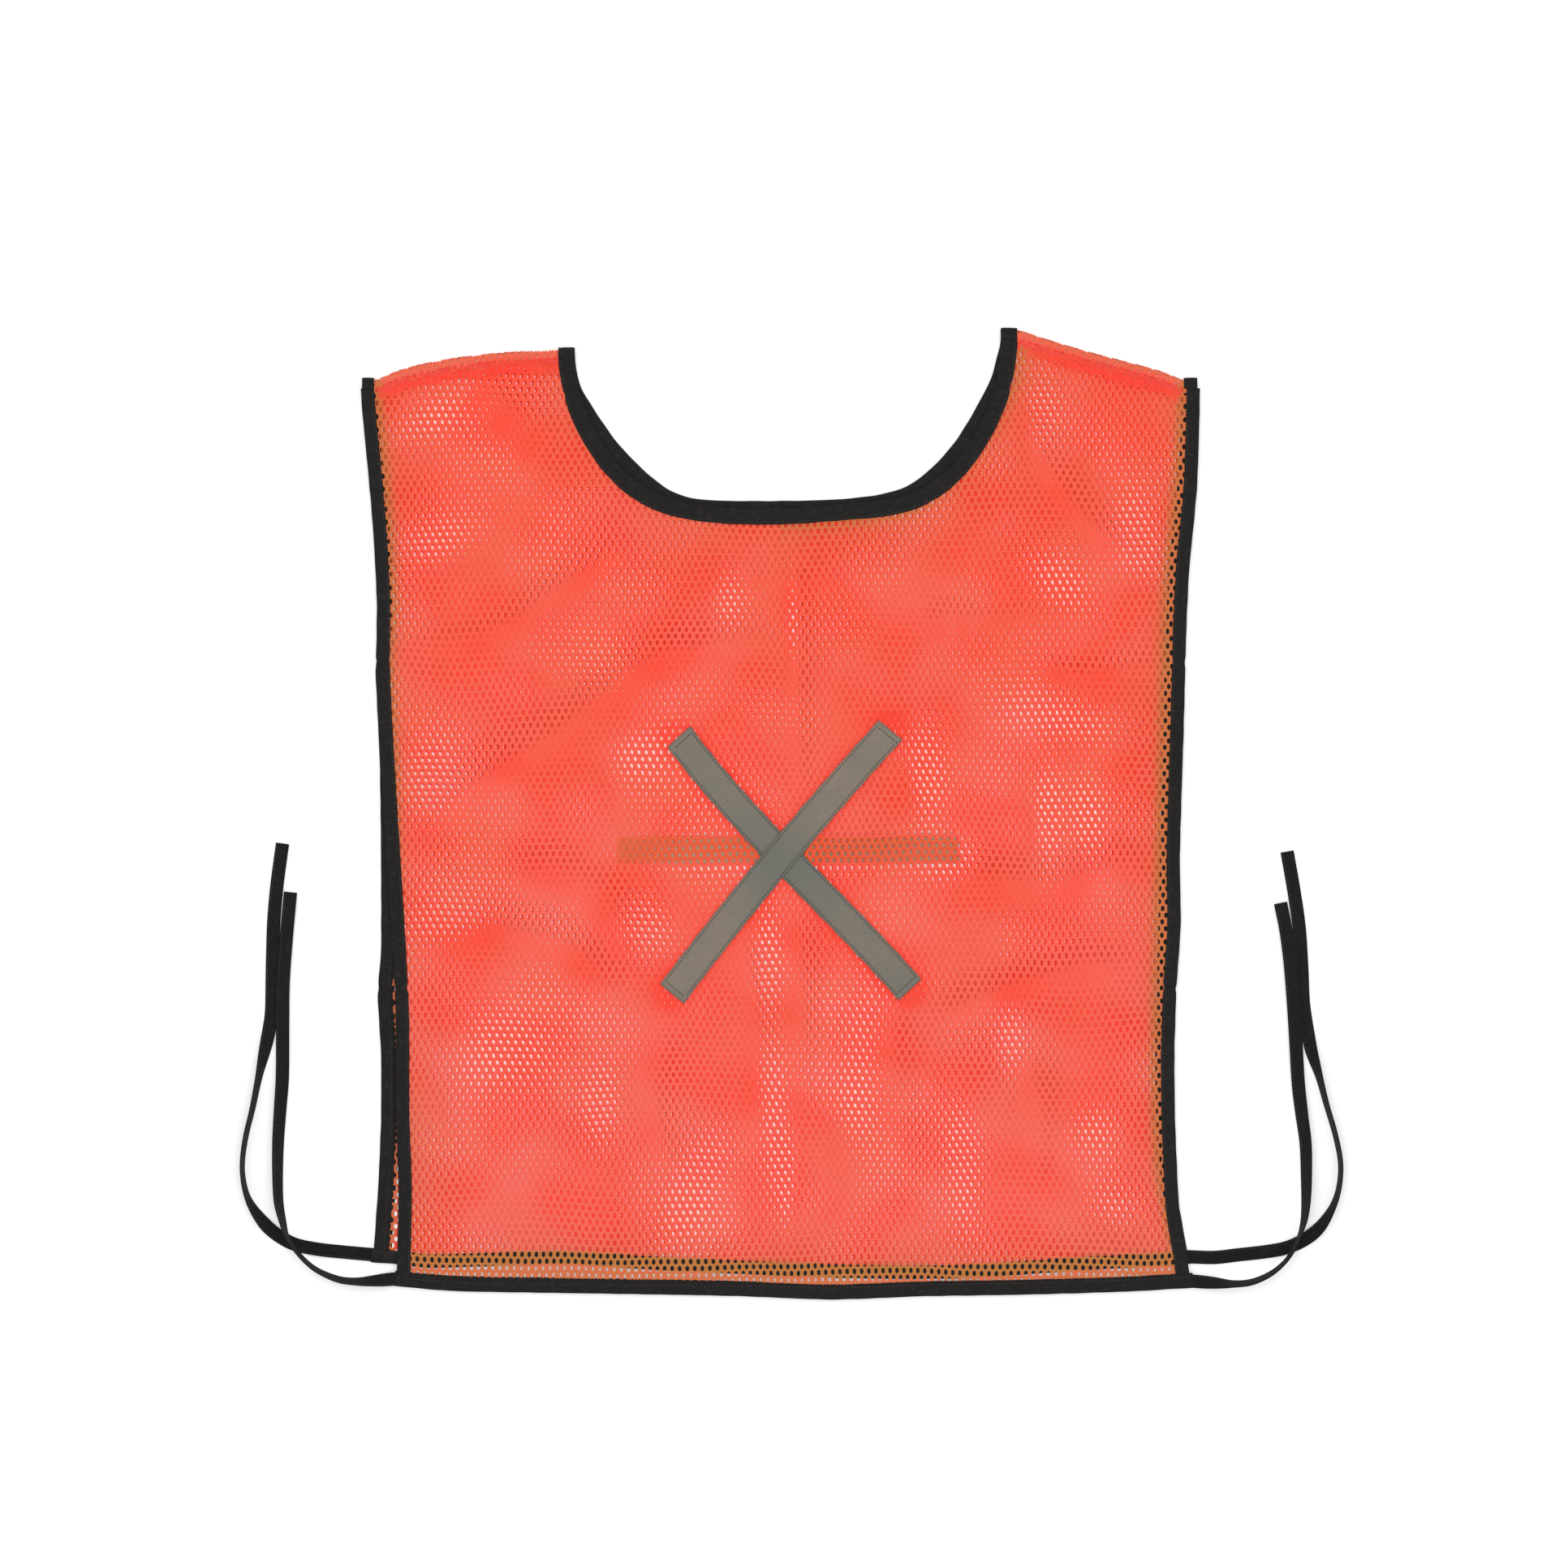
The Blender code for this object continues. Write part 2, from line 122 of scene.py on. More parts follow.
# The camera looks straight down.
VIEW_WIDTH = 1.1592
VIEW_CENTRE = (0.0027, 0.0219)
CAMERA_HEIGHT = 3.6
SENSOR = 36.0

# ------------ the cloth's folds

# Creases of the front panel: the points each runs through, and its width and depth in
# millimetres. Points here and below are in percent of the vest's width and height.
CREASES = [
    ([(1, 66), (8, 66.7), (14, 67.3), (19, 69.4), (23, 72), (28, 75), (33, 77.5)], 6.5, 3),
    ([(2, 45), (7, 47.7), (12, 51), (17, 54), (24, 57.7), (29, 61), (33, 64), (37, 65.8), (44, 66.7),
      (50, 67.8)], 8, 3.2),
    ([(5, 34), (11, 36.5), (16, 37.7), (23, 36.2), (27, 33.9), (30, 30)], 8, 2.4),
    ([(16, 42.5), (23, 43.1), (27, 41.4), (30, 37.7), (31, 33)], 10, 2),
    ([(12, 94.5), (17, 90.5), (23, 86.5)], 12, 3.4),
    ([(9, 91.5), (13.5, 86.1), (18, 81.1)], 3.5, 1.2),
    ([(51.2, 78), (51.4, 72), (51.5, 67), (51.6, 58.6), (51.8, 51)], 4.5, 2),
    ([(51, 41), (51.6, 33.5), (51.8, 25.1), (52, 15)], 6, 2.2),
    ([(44, 38), (46, 31.8), (47, 24), (47.2, 15)], 6, 2),
    ([(78.5, 93), (79, 90), (81.3, 85.3), (84.7, 81.1), (89, 77.4), (93, 75)], 6, 2.6),
    ([(67, 68.8), (70, 69), (74, 69)], 8, 2.4),
    ([(79, 64.8), (85.7, 63.7), (90.5, 64.5), (98.5, 65.2)], 5, 2.8),
    ([(69, 43), (76, 42.3), (82, 41.9), (87.6, 43.1), (97.5, 45.6)], 8.5, 2.8),
    ([(68, 28), (74.5, 30.6), (80, 32.2), (86.6, 33.8), (97, 33.1)], 7, 3),
    ([(72, 69.5), (78, 70), (86, 70)], 4, 1.4),
    ([(6, 23.5), (9, 19.5), (11.5, 15.5)], 4.5, 1.4),
    ([(63, 31), (62, 24), (64.5, 13)], 7.5, 1.4),
    ([(79, 26), (80, 19), (79, 11)], 7, 1.6),
    ([(35.5, 30), (34, 22), (36, 12)], 7.5, 1.4),
    ([(43, 76.5), (50, 77), (57, 76)], 5, 1),
    ([(44, 74), (50, 73.5), (60, 74.2)], 4, .8),
]

# Patches where the holes of the two panels line up: middle, half sizes, tilt in degrees.
OPEN_PATCHES = [
    (8.2, 77.4, 4.8, 2.6, 10), (8.2, 53.6, 3, 3.6, 0), (16, 25.1, 6.2, 4.6, 0), (33.4, 38.9, 2.6, 3.6, 0),
    (28.1, 20.1, 2.1, 4, 0), (39.7, 11.8, 2.6, 6.2, -26), (48.4, 35.2, 1.4, 6, 0),
    (48.9, 16.8, 1.7, 8.5, 0), (59.5, 22.6, 2.8, 7.5, -8), (71.6, 13.5, 2, 6.2, 4),
    (77, 26.4, 1.7, 4.5, 0), (87.1, 17.6, 3.1, 2.7, 0), (89.5, 9.7, 3, 2.6, 0), (82.8, 74, 5.8, 2.3, -40),
    (92.4, 78.5, 2.3, 4.5, 12), (81.8, 50.2, 1.6, 5.5, 0), (86.6, 48.5, 1.7, 4, 8),
    (67.3, 53.6, 2, 5.5, 0), (84.7, 59.4, 6.8, 2.6, -15), (9.2, 38.5, 4.8, 2.6, 0),
    (80.8, 90.3, 2, 4.6, 0), (43.6, 71.9, 2.1, 3.6, 0), (8, 90.5, 4.5, 2, 20), (70, 45, 3, 2, 0),
    (33, 56, 3.5, 2.5, 20), (51.1, 70, .6, 5, 0), (50.5, 12, 1, 5, 0), (50.8, 45.7, 17, 1.5, 0),
]

# Slow waves of the cloth: wavelength across, wavelength up, phase and share.
WAVES = [(.31, .53, .4, .34), (-.23, .37, 2.1, .26), (.17, -.29, 4.4, .20),
         (.47, .13, 1.3, .24), (-.11, .21, 5.2, .10), (.13, .12, 3.3, .08)]

# Where a fold or a join presses the tapes: which tape, its left end (-1), right end (1) or
# either (0), and the height.
PRESSED = [("binding_back", 0, -.129), ("binding_back", 0, .112), ("binding_front", 0, -.129),
           ("binding_front", 0, .112), ("binding_neck_front", -1, .3105), ("binding_neck_front", 1, .317)]

# How far each strip bows to the left of its run from left to right: share of its length, metres.
BOWS = {
    "strip_under": [(0, .0019), (.37, -.0017), (.80, .0011), (1, .0010)],
    "strip_over": [(0, -.0011), (.5, .0017), (1, -.0017)],
    "bar_back": [(0, 0), (1, 0)],
}

# Small ridges across the strips: share of the length and height.
RIDGES = {
    "strip_under": [(.57, .0007), (.63, .0006), (.90, .0007), (.20, .0003)],
    "strip_over": [(.90, .0005), (.30, .0004)],
    "bar_back": [],
}

# Ties, from the hem corner to the free end, in millimetres: place, lean (0 flat to 1 on its
# edge) and how high the underside is, which is FLOOR_GAP where it isn't given.
FLOOR_GAP = .2
TIES = {
    "tie_back_left": [
        (-302, -326, 0, .4), (-324, -324, 0), (-342, -322, 0), (-360, -318, 0), (-375, -309, .06),
        (-385.5, -297, .5), (-393, -284, .78), (-396.5, -270, .85), (-397, -256, .85),
        (-394.5, -238, .82), (-389.5, -217, .8), (-384.5, -192, .7), (-380, -171, .3), (-377.5, -157, 0),
        (-376, -144, 0), (-375.5, -114, 0), (-374.5, -80, 0), (-372, -52, 0), (-368, -22, 0)],
    "tie_front_left": [
        (-284.6, -343.7, 0, 2.8), (-298, -344.6, .4, 2.6), (-312, -345.2, .68, 2.4),
        (-326, -343.6, .76, 2.2), (-341, -337.3, .84, 2.2), (-350.5, -330, .88, 2.3),
        (-358, -321.5, .9, 2.4), (-363.5, -313.5, .9, 2.4), (-367, -302, .75, 1.9),
        (-370.4, -286, .58, 1), (-371.2, -263, .48, .6), (-370.8, -240, .38, .4), (-369.4, -217, .28, .4),
        (-368, -194, .12, .8), (-367.8, -160, 0, 1.5), (-367.4, -125, 0, 1.5), (-365, -91, 0, 1.5),
        (-362, -58, 0, 1.5)],
    "tie_back_right": [
        (302.5, -327.5, 0, .4), (321, -328, 0), (339, -326, 0), (357, -324, 0), (373.5, -321, 0),
        (387, -315, .05), (398, -306, .38), (406, -294, .7), (411, -282, .82), (413.5, -268, .85),
        (413.2, -254, .84), (409.2, -235, .82), (403.3, -215, .8), (397.8, -194, .7), (392, -174, .3),
        (389, -157, 0), (386.5, -139, 0), (385.4, -114, 0), (383.4, -84, 0), (379.4, -56, 0),
        (374.5, -28, 0)],
    "tie_front_right": [
        (304.6, -345.2, 0, 2.8), (318, -346.2, .34, 2.6), (333, -347, .7, 2.4), (347, -345.8, .78, 2.4),
        (361, -340, .84, 2.2), (371.5, -331.5, .9, 2.4), (378.4, -322, .9, 2.4), (383.2, -311, .9, 2.4),
        (386.6, -299.5, .75, 1.9), (388.1, -286, .6, 1), (388.5, -268, .46, .6), (388, -244, .36, .4),
        (385.2, -222, .26, .4), (382.6, -199, .1, .9), (381, -171, 0, 1.5), (379, -139, 0, 1.5),
        (376.5, -109, 0, 1.5), (373.5, -86, 0, 1.5), (369.5, -66, 0, 1.5)],
}

# ------------ reading the frame


def plan(node):
    """Return a CAD node's vertices and edges, seen from the front."""
    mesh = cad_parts[node].data
    spots = np.empty(len(mesh.vertices) * 3)
    mesh.vertices.foreach_get("co", spots)
    edges = np.empty(len(mesh.edges) * 2, dtype=int)
    mesh.edges.foreach_get("vertices", edges)
    return spots.reshape(-1, 3)[:, :2], edges.reshape(-1, 2)


def cut(spots, edges, axis, value):
    """Return where a line across the plan enters and leaves the node."""
    start, end = spots[edges[:, 0]], spots[edges[:, 1]]
    before, after = start[:, axis] - value, end[:, axis] - value
    hit = before * after < 0
    share = before[hit] / (before[hit] - after[hit])
    other = 1 - axis
    crossing = start[hit, other] + share * (end[hit, other] - start[hit, other])
    return crossing.min(), crossing.max()


def centre_line(node, axis, count):
    """Return points along the middle of a tape that runs along an axis."""
    spots, edges = plan(node)
    low, high = spots[:, axis].min(), spots[:, axis].max()
    line = np.empty((count, 2))
    line[:, axis] = np.linspace(low + 0.002, high - 0.002, count)
    line[:, 1 - axis] = [sum(cut(spots, edges, axis, value)) / 2 for value in line[:, axis]]
    line[0, axis], line[-1, axis] = low, high
    return line


def neck_line(node):
    """Return points along the middle of a neck tape, from the left shoulder to the right."""
    spots, edges = plan(node)
    low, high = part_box(node)
    eye = np.array([(low.x + high.x) / 2, low.y + 0.7 * (high.y - low.y)])
    line = []
    for angle in np.linspace(radians(150), radians(390), 121):
        along = np.array([cos(angle), sin(angle)])
        turned = (spots - eye) @ np.array([[along[0], -along[1]], [along[1], along[0]]])
        ahead = edges[(turned[edges][:, :, 0] > 0).all(axis=1)]
        if not (turned[ahead[:, 0], 1] * turned[ahead[:, 1], 1] < 0).any():
            continue
        near, far = cut(turned, ahead, 1, 0.0)
        if far - near > 0.95 * NECK_TAPE_WIDTH - 0.0006:
            line.append(eye + along * (near + far) / 2)
    line = np.array(line)
    first, last = line[0].copy(), line[-1].copy()
    first[1] = spots[spots[:, 0] < eye[0], 1].max()
    last[1] = spots[spots[:, 0] > eye[0], 1].max()
    keep = line[:, 1] < np.where(line[:, 0] < eye[0], first[1], last[1]) - 0.003
    return np.vstack([first, line[keep], last])


LAYERS = ("back", "front")
HANDS = ("left", "right")
SIDES = {(layer, hand): centre_line("side_binding_" + layer + "_" + hand, 1, 60)
         for layer in LAYERS for hand in HANDS}
HEMS = {layer: centre_line("hem_binding_" + layer, 0, 50) for layer in LAYERS}
NECKS = {layer: neck_line("neck_binding_" + layer) for layer in LAYERS}

edge_boxes = [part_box(node) for node in ("side_binding_front_left", "side_binding_front_right",
                                        "hem_binding_front", "neck_binding_back")]
vest_low = Vector([min(low[k] for low, high in edge_boxes) for k in range(3)])
vest_high = Vector([max(high[k] for low, high in edge_boxes) for k in range(3)])
VEST_SIZE = vest_high - vest_low


def shoulder_tops():
    """Return the top edge of each rolled shoulder of the back panel, from armhole to neck."""
    spots, edges = plan("back_mesh_panel")
    tops = {}
    for hand, end in zip(HANDS, (0, -1)):
        outer, inner = SIDES["back", hand][-1][0], NECKS["back"][end][0]
        places = np.linspace(outer, inner, 24)
        inside = np.clip(places, min(inner, outer) + 0.0005, max(inner, outer) - 0.0005)
        tops[hand] = np.array([(x, cut(spots, edges, 0, near)[1]) for x, near in zip(places, inside)])
    return tops


SHOULDERS = shoulder_tops()


def place(u, v):
    """Return the spot at percentages of the vest's width and height, from its lower left."""
    return (vest_low.x + u / 100 * VEST_SIZE.x, vest_low.y + v / 100 * VEST_SIZE.y)


def x_of(line, y):
    """Return the x of an upright line at each height."""
    return np.interp(y, line[:, 1], line[:, 0])


def y_of(line, x):
    """Return the height of a line from left to right at each x."""
    return np.interp(x, line[:, 0], line[:, 1])


def shoulder_top(x):
    """Return the height of the shoulder's top edge at each x."""
    return np.where(x < 0, y_of(SHOULDERS["left"], x), y_of(SHOULDERS["right"][::-1], x))


# ------------ fields over the cloth


def smooth(t):
    """Ease a number from 0 to 1."""
    t = np.clip(t, 0, 1)
    return t * t * (3 - 2 * t)


def bell(distance, width):
    """Return 1 at a distance of 0, falling off to either side."""
    return np.exp(-(distance / width) ** 2)


def waves(x, y, turn):
    """Return slow waves of the cloth, about -1 to 1."""
    return sum(share * np.sin(2 * pi * (x / across + y / upward) + phase * turn)
               for across, upward, phase, share in WAVES)


def near_line(x, y, points):
    """Return each spot's signed distance from a line and how far along it the nearest point is."""
    best = np.full(x.shape, 1e9)
    signed = np.zeros(x.shape)
    along = np.zeros(x.shape)
    pieces = len(points) - 1
    for k, ((ax, ay), (bx, by)) in enumerate(zip(points, points[1:])):
        dx, dy = bx - ax, by - ay
        length = max(1e-9, (dx * dx + dy * dy) ** 0.5)
        t = np.clip(((x - ax) * dx + (y - ay) * dy) / length ** 2, 0, 1)
        away = np.hypot(x - ax - t * dx, y - ay - t * dy)
        side = ((x - ax) * dy - (y - ay) * dx) / length
        closer = away < best
        best = np.where(closer, away, best)
        signed = np.where(closer, np.sign(side) * away, signed)
        along = np.where(closer, (k + t) / pieces, along)
    return signed, along


def crease_fields(x, y):
    """Return how deep the creases press the front panel, and how strongly each spot is creased."""
    height = np.zeros(x.shape)
    strength = np.zeros(x.shape)
    for points, *size in CREASES:
        width, depth = np.array(size) / 1000
        signed, along = near_line(x, y, [place(*point) for point in points])
        ends = smooth(along / 0.22) * smooth((1 - along) / 0.22)
        valley = bell(signed, width)
        ridge = bell(signed + 1.9 * width, 1.5 * width)
        height += depth * (0.75 * ridge - valley) * ends
        tint = bell(signed, 1.5 * width) * ends * (0.75 + 0.25 * np.sin(along * 19 + width * 900))
        strength = np.maximum(strength, tint * min(1.0, depth / 0.0026))
    return height, strength


def openness(x, y):
    """Return 1 where the two panels' holes line up, and 0 where they don't."""
    total = 0.30 * smooth(0.5 + 0.9 * waves(x * 1.4 + 0.11, y * 1.4, 1.1))
    for u, v, half_width, half_height, tilt in OPEN_PATCHES:
        middle_x, middle_y = place(u, v)
        dx, dy = x - middle_x, y - middle_y
        turn = radians(tilt)
        across = (dx * cos(turn) + dy * sin(turn)) / (half_width / 100 * VEST_SIZE.x)
        upward = (dy * cos(turn) - dx * sin(turn)) / (half_height / 100 * VEST_SIZE.y)
        total += 0.68 * np.exp(-0.9 * (across ** 2 + upward ** 2))
    return np.clip(total, 0, 0.74)


def edge_distance(layer, x, y):
    """Return each spot's rough distance inside the panel's bound edges."""
    inside = np.minimum(x - x_of(SIDES[layer, "left"], y), x_of(SIDES[layer, "right"], y) - x)
    inside = np.minimum(inside, y - y_of(HEMS[layer], x))
    return np.minimum(inside, np.abs(near_line(x, y, NECKS[layer])[0]))


def front_height(x, y):
    """Return the height of the front panel's cloth, which rests on the back panel's."""
    creases = crease_fields(x, y)[0]
    edge = edge_distance("front", x, y)
    loose = smooth(edge / 0.045)
    seam = np.where(y > 0, smooth((shoulder_top(x) - y - SEAM_DROP) / 0.030), 1)
    resting = back_height(x, y) + CLOTH_GAP
    bound = np.maximum(1 - smooth((edge - 0.026) / 0.030), 1 - seam)
    lift = np.maximum(0, 0.0011 * waves(x, y, 1.0) + creases) + np.minimum(0, 0.12 * creases)
    height = resting + (FRONT_LEVEL - resting) * bound + lift * loose * seam
    return np.clip(height, FRONT_LOWEST, FRONT_HIGHEST)


def back_height(x, y):
    """Return the height of the back panel's cloth."""
    loose = smooth(edge_distance("back", x, y) / 0.030)
    return BACK_LEVEL + loose * 0.0003 * (1 + waves(x, y, 1.7))


HEIGHTS = {"front": front_height, "back": back_height}


def rolled(x, y):
    """Carry the back panel's cloth over the shoulder: y runs on past the top of the roll."""
    axis = shoulder_top(x) - SHOULDER_ROLL - TAPE_THICKNESS / 2
    turn = np.clip((y - axis) / SHOULDER_ROLL, 0, pi)
    down = np.maximum(0, y - axis - pi * SHOULDER_ROLL)
    up = np.where(y > axis, axis + SHOULDER_ROLL * np.sin(turn) - down, y)
    base = back_height(x, np.minimum(y, axis))
    return up, base + SHOULDER_ROLL * (1 - np.cos(turn))


# ------------ mesh helpers


def link(name, data):
    """Put an object in the scene."""
    item = bpy.data.objects.new(name, data)
    bpy.context.scene.collection.objects.link(item)
    return item


def new_piece(name, data, material):
    """Make an object of a mesh and a material."""
    data.materials.clear()
    data.materials.append(material)
    return link(name, data)


def build_mesh(name, spots, quads):
    """Make a smooth mesh from arrays of vertices and of faces with four corners each."""
    spots, quads = spots.reshape(-1, 3), quads.reshape(-1, 4)
    mesh = bpy.data.meshes.new(name)
    mesh.vertices.add(len(spots))
    mesh.vertices.foreach_set("co", spots.astype(np.float32).ravel())
    mesh.loops.add(quads.size)
    mesh.loops.foreach_set("vertex_index", quads.astype(np.int32).ravel())
    mesh.polygons.add(len(quads))
    mesh.polygons.foreach_set("loop_start", np.arange(0, quads.size, 4, dtype=np.int32))
    mesh.polygons.foreach_set("use_smooth", np.ones(len(quads), dtype=bool))
    mesh.update(calc_edges=True)
    mesh.validate()
    return mesh


def store(mesh, name, values):
    """Keep one number for each vertex, for the material to read."""
    kept = mesh.attributes.new(name, "FLOAT", "POINT")
    kept.data.foreach_set("value", np.asarray(values, dtype=np.float32))


def distances(line):
    """Return how far along a line each of its points is."""
    return np.concatenate([[0], np.cumsum(norm(np.diff(line, axis=0), axis=1))])


def sampled(rows, lengths, stops):
    """Return rows of numbers, kept at lengths along a line, as they are at the stops."""
    return np.column_stack([np.interp(stops, lengths, column) for column in rows.T])


def even_steps(points, step):
    """Return the points of a line again, about a step apart."""
    points = np.asarray(points, dtype=float)
    lengths = distances(points)
    count = max(2, int(round(lengths[-1] / step)) + 1)
    return sampled(points, lengths, np.linspace(0, lengths[-1], count))


def curve_through(points, step):
    """Return even points along a smooth curve through rows of numbers."""
    knots = np.vstack([2 * points[0] - points[1], points, 2 * points[-1] - points[-2]])
    t = np.linspace(0, 1, 12, endpoint=False)[:, None]
    rows = [0.5 * (2 * start + (end - before) * t
                   + (2 * before - 5 * start + 4 * end - after) * t * t
                   + (3 * start - before - 3 * end + after) * t ** 3)
            for before, start, end, after in zip(knots, knots[1:], knots[2:], knots[3:])]
    rows = np.vstack([*rows, points[-1]])
    lengths = distances(rows[:, :2])
    return sampled(rows, lengths, np.linspace(0, lengths[-1], int(round(lengths[-1] / step)) + 1))


def line_frames(line, across):
    """Return the direction, the squared-up across direction and the upward one at each point."""
    ahead = np.gradient(line, axis=0)
    ahead /= norm(ahead, axis=1)[:, None]
    across = across - ahead * (across * ahead).sum(axis=1)[:, None]
    across /= norm(across, axis=1)[:, None]
    return ahead, across, np.cross(ahead, across)


def sweep(name, line, across, profiles, material):
    """Sweep a closed profile along a line; profiles holds (points, across and up) for each ring."""
    ahead, across, upward = line_frames(line, across)
    rings = (line[:, None, :] + across[:, None, :] * profiles[:, :, :1]
             + upward[:, None, :] * profiles[:, :, 1:2])
    count, size = rings.shape[:2]
    ids = np.arange(count * size).reshape(count, size)
    nexts = np.roll(ids, -1, axis=1)
    mesh = build_mesh(name, rings, np.stack([ids[:-1], nexts[:-1], nexts[1:], ids[1:]], axis=-1))
    work = bmesh.new()
    work.from_mesh(mesh)
    work.verts.ensure_lookup_table()
    for ring in (ids[0], ids[-1]):
        work.faces.new([work.verts[k] for k in ring])
    bmesh.ops.recalc_face_normals(work, faces=work.faces)
    uv = work.loops.layers.uv.new("Tape")
    lengths = distances(line)
    for face in work.faces:
        for loop in face.loops:
            row, column = divmod(loop.vert.index, size)
            loop[uv].uv = (lengths[row], profiles[row, column, 0])
    work.to_mesh(mesh)
    work.free()
    piece = new_piece(name, mesh, material)
    mesh.set_sharp_from_angle(angle=radians(50))
    return piece


# ------------ materials


def new_material(name):
    """Make a material and return it with its node tree and its Principled shader."""
    material = bpy.data.materials.new(name)
    material.use_nodes = True
    tree = material.node_tree
    return material, tree, tree.nodes["Principled BSDF"]


def add(tree, kind, **settings):
    """Add a node and set its plain properties."""
    node = tree.nodes.new(kind)
    for key, value in settings.items():
        setattr(node, key, value)
    return node


def attribute(tree, name):
    """Return the output of a number kept for each vertex."""
    return add(tree, "ShaderNodeAttribute", attribute_name=name).outputs["Fac"]


def set_inputs(node, values):
    """Set inputs of a node or a shader to plain values."""
    for name, value in values.items():
        node.inputs[name].default_value = value


def texture(tree, kind, values, along=None, output="Fac", **settings):
    """Return a texture that is laid along a tape, or else through the object's own space."""
    node = add(tree, "ShaderNodeTex" + kind, **settings)
    set_inputs(node, values)
    tree.links.new(along or add(tree, "ShaderNodeTexCoord").outputs["Object"], node.inputs["Vector"])
    return node.outputs[output]


def noise(tree, scale, detail):
    """Return a noise factor at a number of features in a metre."""
    return texture(tree, "Noise", {"Scale": scale, "Detail": detail})


def math(tree, operation, a, b):
    """Return one operation on a socket and a socket or a number."""
    node = add(tree, "ShaderNodeMath", operation=operation)
    tree.links.new(a, node.inputs[0])
    if isinstance(b, float):
        node.inputs[1].default_value = b
    else:
        tree.links.new(b, node.inputs[1])
    return node.outputs[0]


def spread(tree, factor, low, high, start=0.0, end=1.0):
    """Map a factor from start..end to low..high."""
    node = add(tree, "ShaderNodeMapRange")
    set_inputs(node, {"From Min": start, "From Max": end, "To Min": low, "To Max": high})
    tree.links.new(factor, node.inputs["Value"])
    return node.outputs["Result"]


def blend_colours(tree, factor, a, b, mode="MIX"):
    """Mix two colours, each a socket or a plain colour."""
    node = add(tree, "ShaderNodeMix", data_type="RGBA", blend_type=mode)
    for socket, value in ((node.inputs[0], factor), (node.inputs[6], a), (node.inputs[7], b)):
        if isinstance(value, tuple):
            socket.default_value = (*value, 1)
        else:
            tree.links.new(value, socket)
    return node.outputs[2]


def overlay(tree, base, colour, factor, most, start, end, mode="MIX"):
    """Lay a colour over the base where a factor is high, by as much as most."""
    return blend_colours(tree, spread(tree, factor, 0.0, most, start, end), base, colour, mode)


def surface(tree, shader, base, roughness, height, depth, values):
    """Drive a shader's colour, roughness and bump, and set the rest of it to plain values."""
    tree.links.new(base, shader.inputs["Base Color"])
    tree.links.new(roughness, shader.inputs["Roughness"])
    node = add(tree, "ShaderNodeBump")
    set_inputs(node, {"Distance": depth, "Strength": 1.0})
    tree.links.new(height, node.inputs["Height"])
    tree.links.new(node.outputs["Normal"], shader.inputs["Normal"])
    set_inputs(shader, values)


def lit(colour, light):
    """Return a colour made lighter or darker."""
    return tuple(light * part for part in colour)


def mesh_material():
    """Fluorescent knitted mesh: coral, with painted shade as a deeper red in creases and elsewhere and as
    ochre by black tape, and a painted glow.
    """
    material, tree, shader = new_material("high_vis_mesh")
    yarn = noise(tree, 2600.0, 2.0)
    base = MESH_CORAL
    # Pinkness is the cloth's own tone; the deeper red is painted shade with some random tone, and the ochre
    # is painted shade.
    for name, colour in (("pinkness", MESH_PALE), ("painted_shade_and_red_tone", MESH_SHADE_AND_TONE_RED), ("painted_tape_shade", MESH_TAPE_SHADE_OCHRE)):
        base = blend_colours(tree, attribute(tree, name), base, colour)
    base = overlay(tree, base, MESH_DARK, yarn, 0.14, 0.3, 0.7, "MULTIPLY")
    # The mesh glows in its own colour: a painted glow that stands in for fluorescence and lifts the shade
    # between the panels.
    tree.links.new(base, shader.inputs["Emission Color"])
    surface(tree, shader, base, spread(tree, yarn, 0.55, 0.78), yarn, 0.00012,
            {"Emission Strength": 0.16, "Sheen Weight": 0.15, "Sheen Roughness": 0.5,
             "Specular IOR Level": 0.3})
    return material


def seam_material():
    """The same yarn, doubled into a seam: red at the ridge and paler up its flap."""
    material, tree, shader = new_material("seam_cloth")
    yarn = noise(tree, 1900.0, 2.0)
    base = overlay(tree, SEAM_DEEP, SEAM_BRIGHT, noise(tree, 160.0, 2.0), 1.0, 0.35, 0.65)
    parts = add(tree, "ShaderNodeSeparateXYZ")
    tree.links.new(add(tree, "ShaderNodeUVMap", uv_map="Tape").outputs["UV"], parts.inputs[0])
    base = overlay(tree, base, SEAM_FLAP, parts.outputs["Y"], 1.0, 0.0014, 0.0030)
    base = overlay(tree, base, SEAM_DARK, yarn, 0.3, 0.3, 0.7, "MULTIPLY")
    surface(tree, shader, base, spread(tree, yarn, 0.6, 0.8), yarn, 0.0002, {"Sheen Weight": 0.25})
    return material


def tape_material(name, light):
    """Black woven tape: fine ribs across it, fuzz, and slow and worn changes of shade."""
    material, tree, shader = new_material(name)
    uv = add(tree, "ShaderNodeUVMap", uv_map="Tape").outputs["UV"]
    rib = texture(tree, "Wave", {"Scale": 420.0, "Distortion": 1.2, "Detail": 1.0, "Detail Scale": 2.0}, uv)
    cross = texture(tree, "Wave", {"Scale": 330.0}, uv, bands_direction="Y")
    weave = math(tree, "MULTIPLY", rib, cross)
    fuzz = noise(tree, 1500.0, 3.0)
    dark, pale, worn = (lit(colour, light) for colour in TAPE_SHADES)
    base = overlay(tree, dark, pale, weave, 1.0, 0.1, 0.7)
    base = overlay(tree, base, dark, noise(tree, 35.0, 2.0), 0.7, 0.35, 0.65)
    base = overlay(tree, base, worn, noise(tree, 240.0, 3.0), 0.45, 0.5, 0.75)
    base = overlay(tree, base, TAPE_FUZZ, fuzz, 0.35, 0.55, 0.8)
    height = math(tree, "ADD", weave, math(tree, "MULTIPLY", fuzz, 0.4))
    surface(tree, shader, base, spread(tree, fuzz, 0.72, 0.92), height, 0.00018,
            {"Specular IOR Level": 0.18, "Sheen Weight": 0.02})
    return material


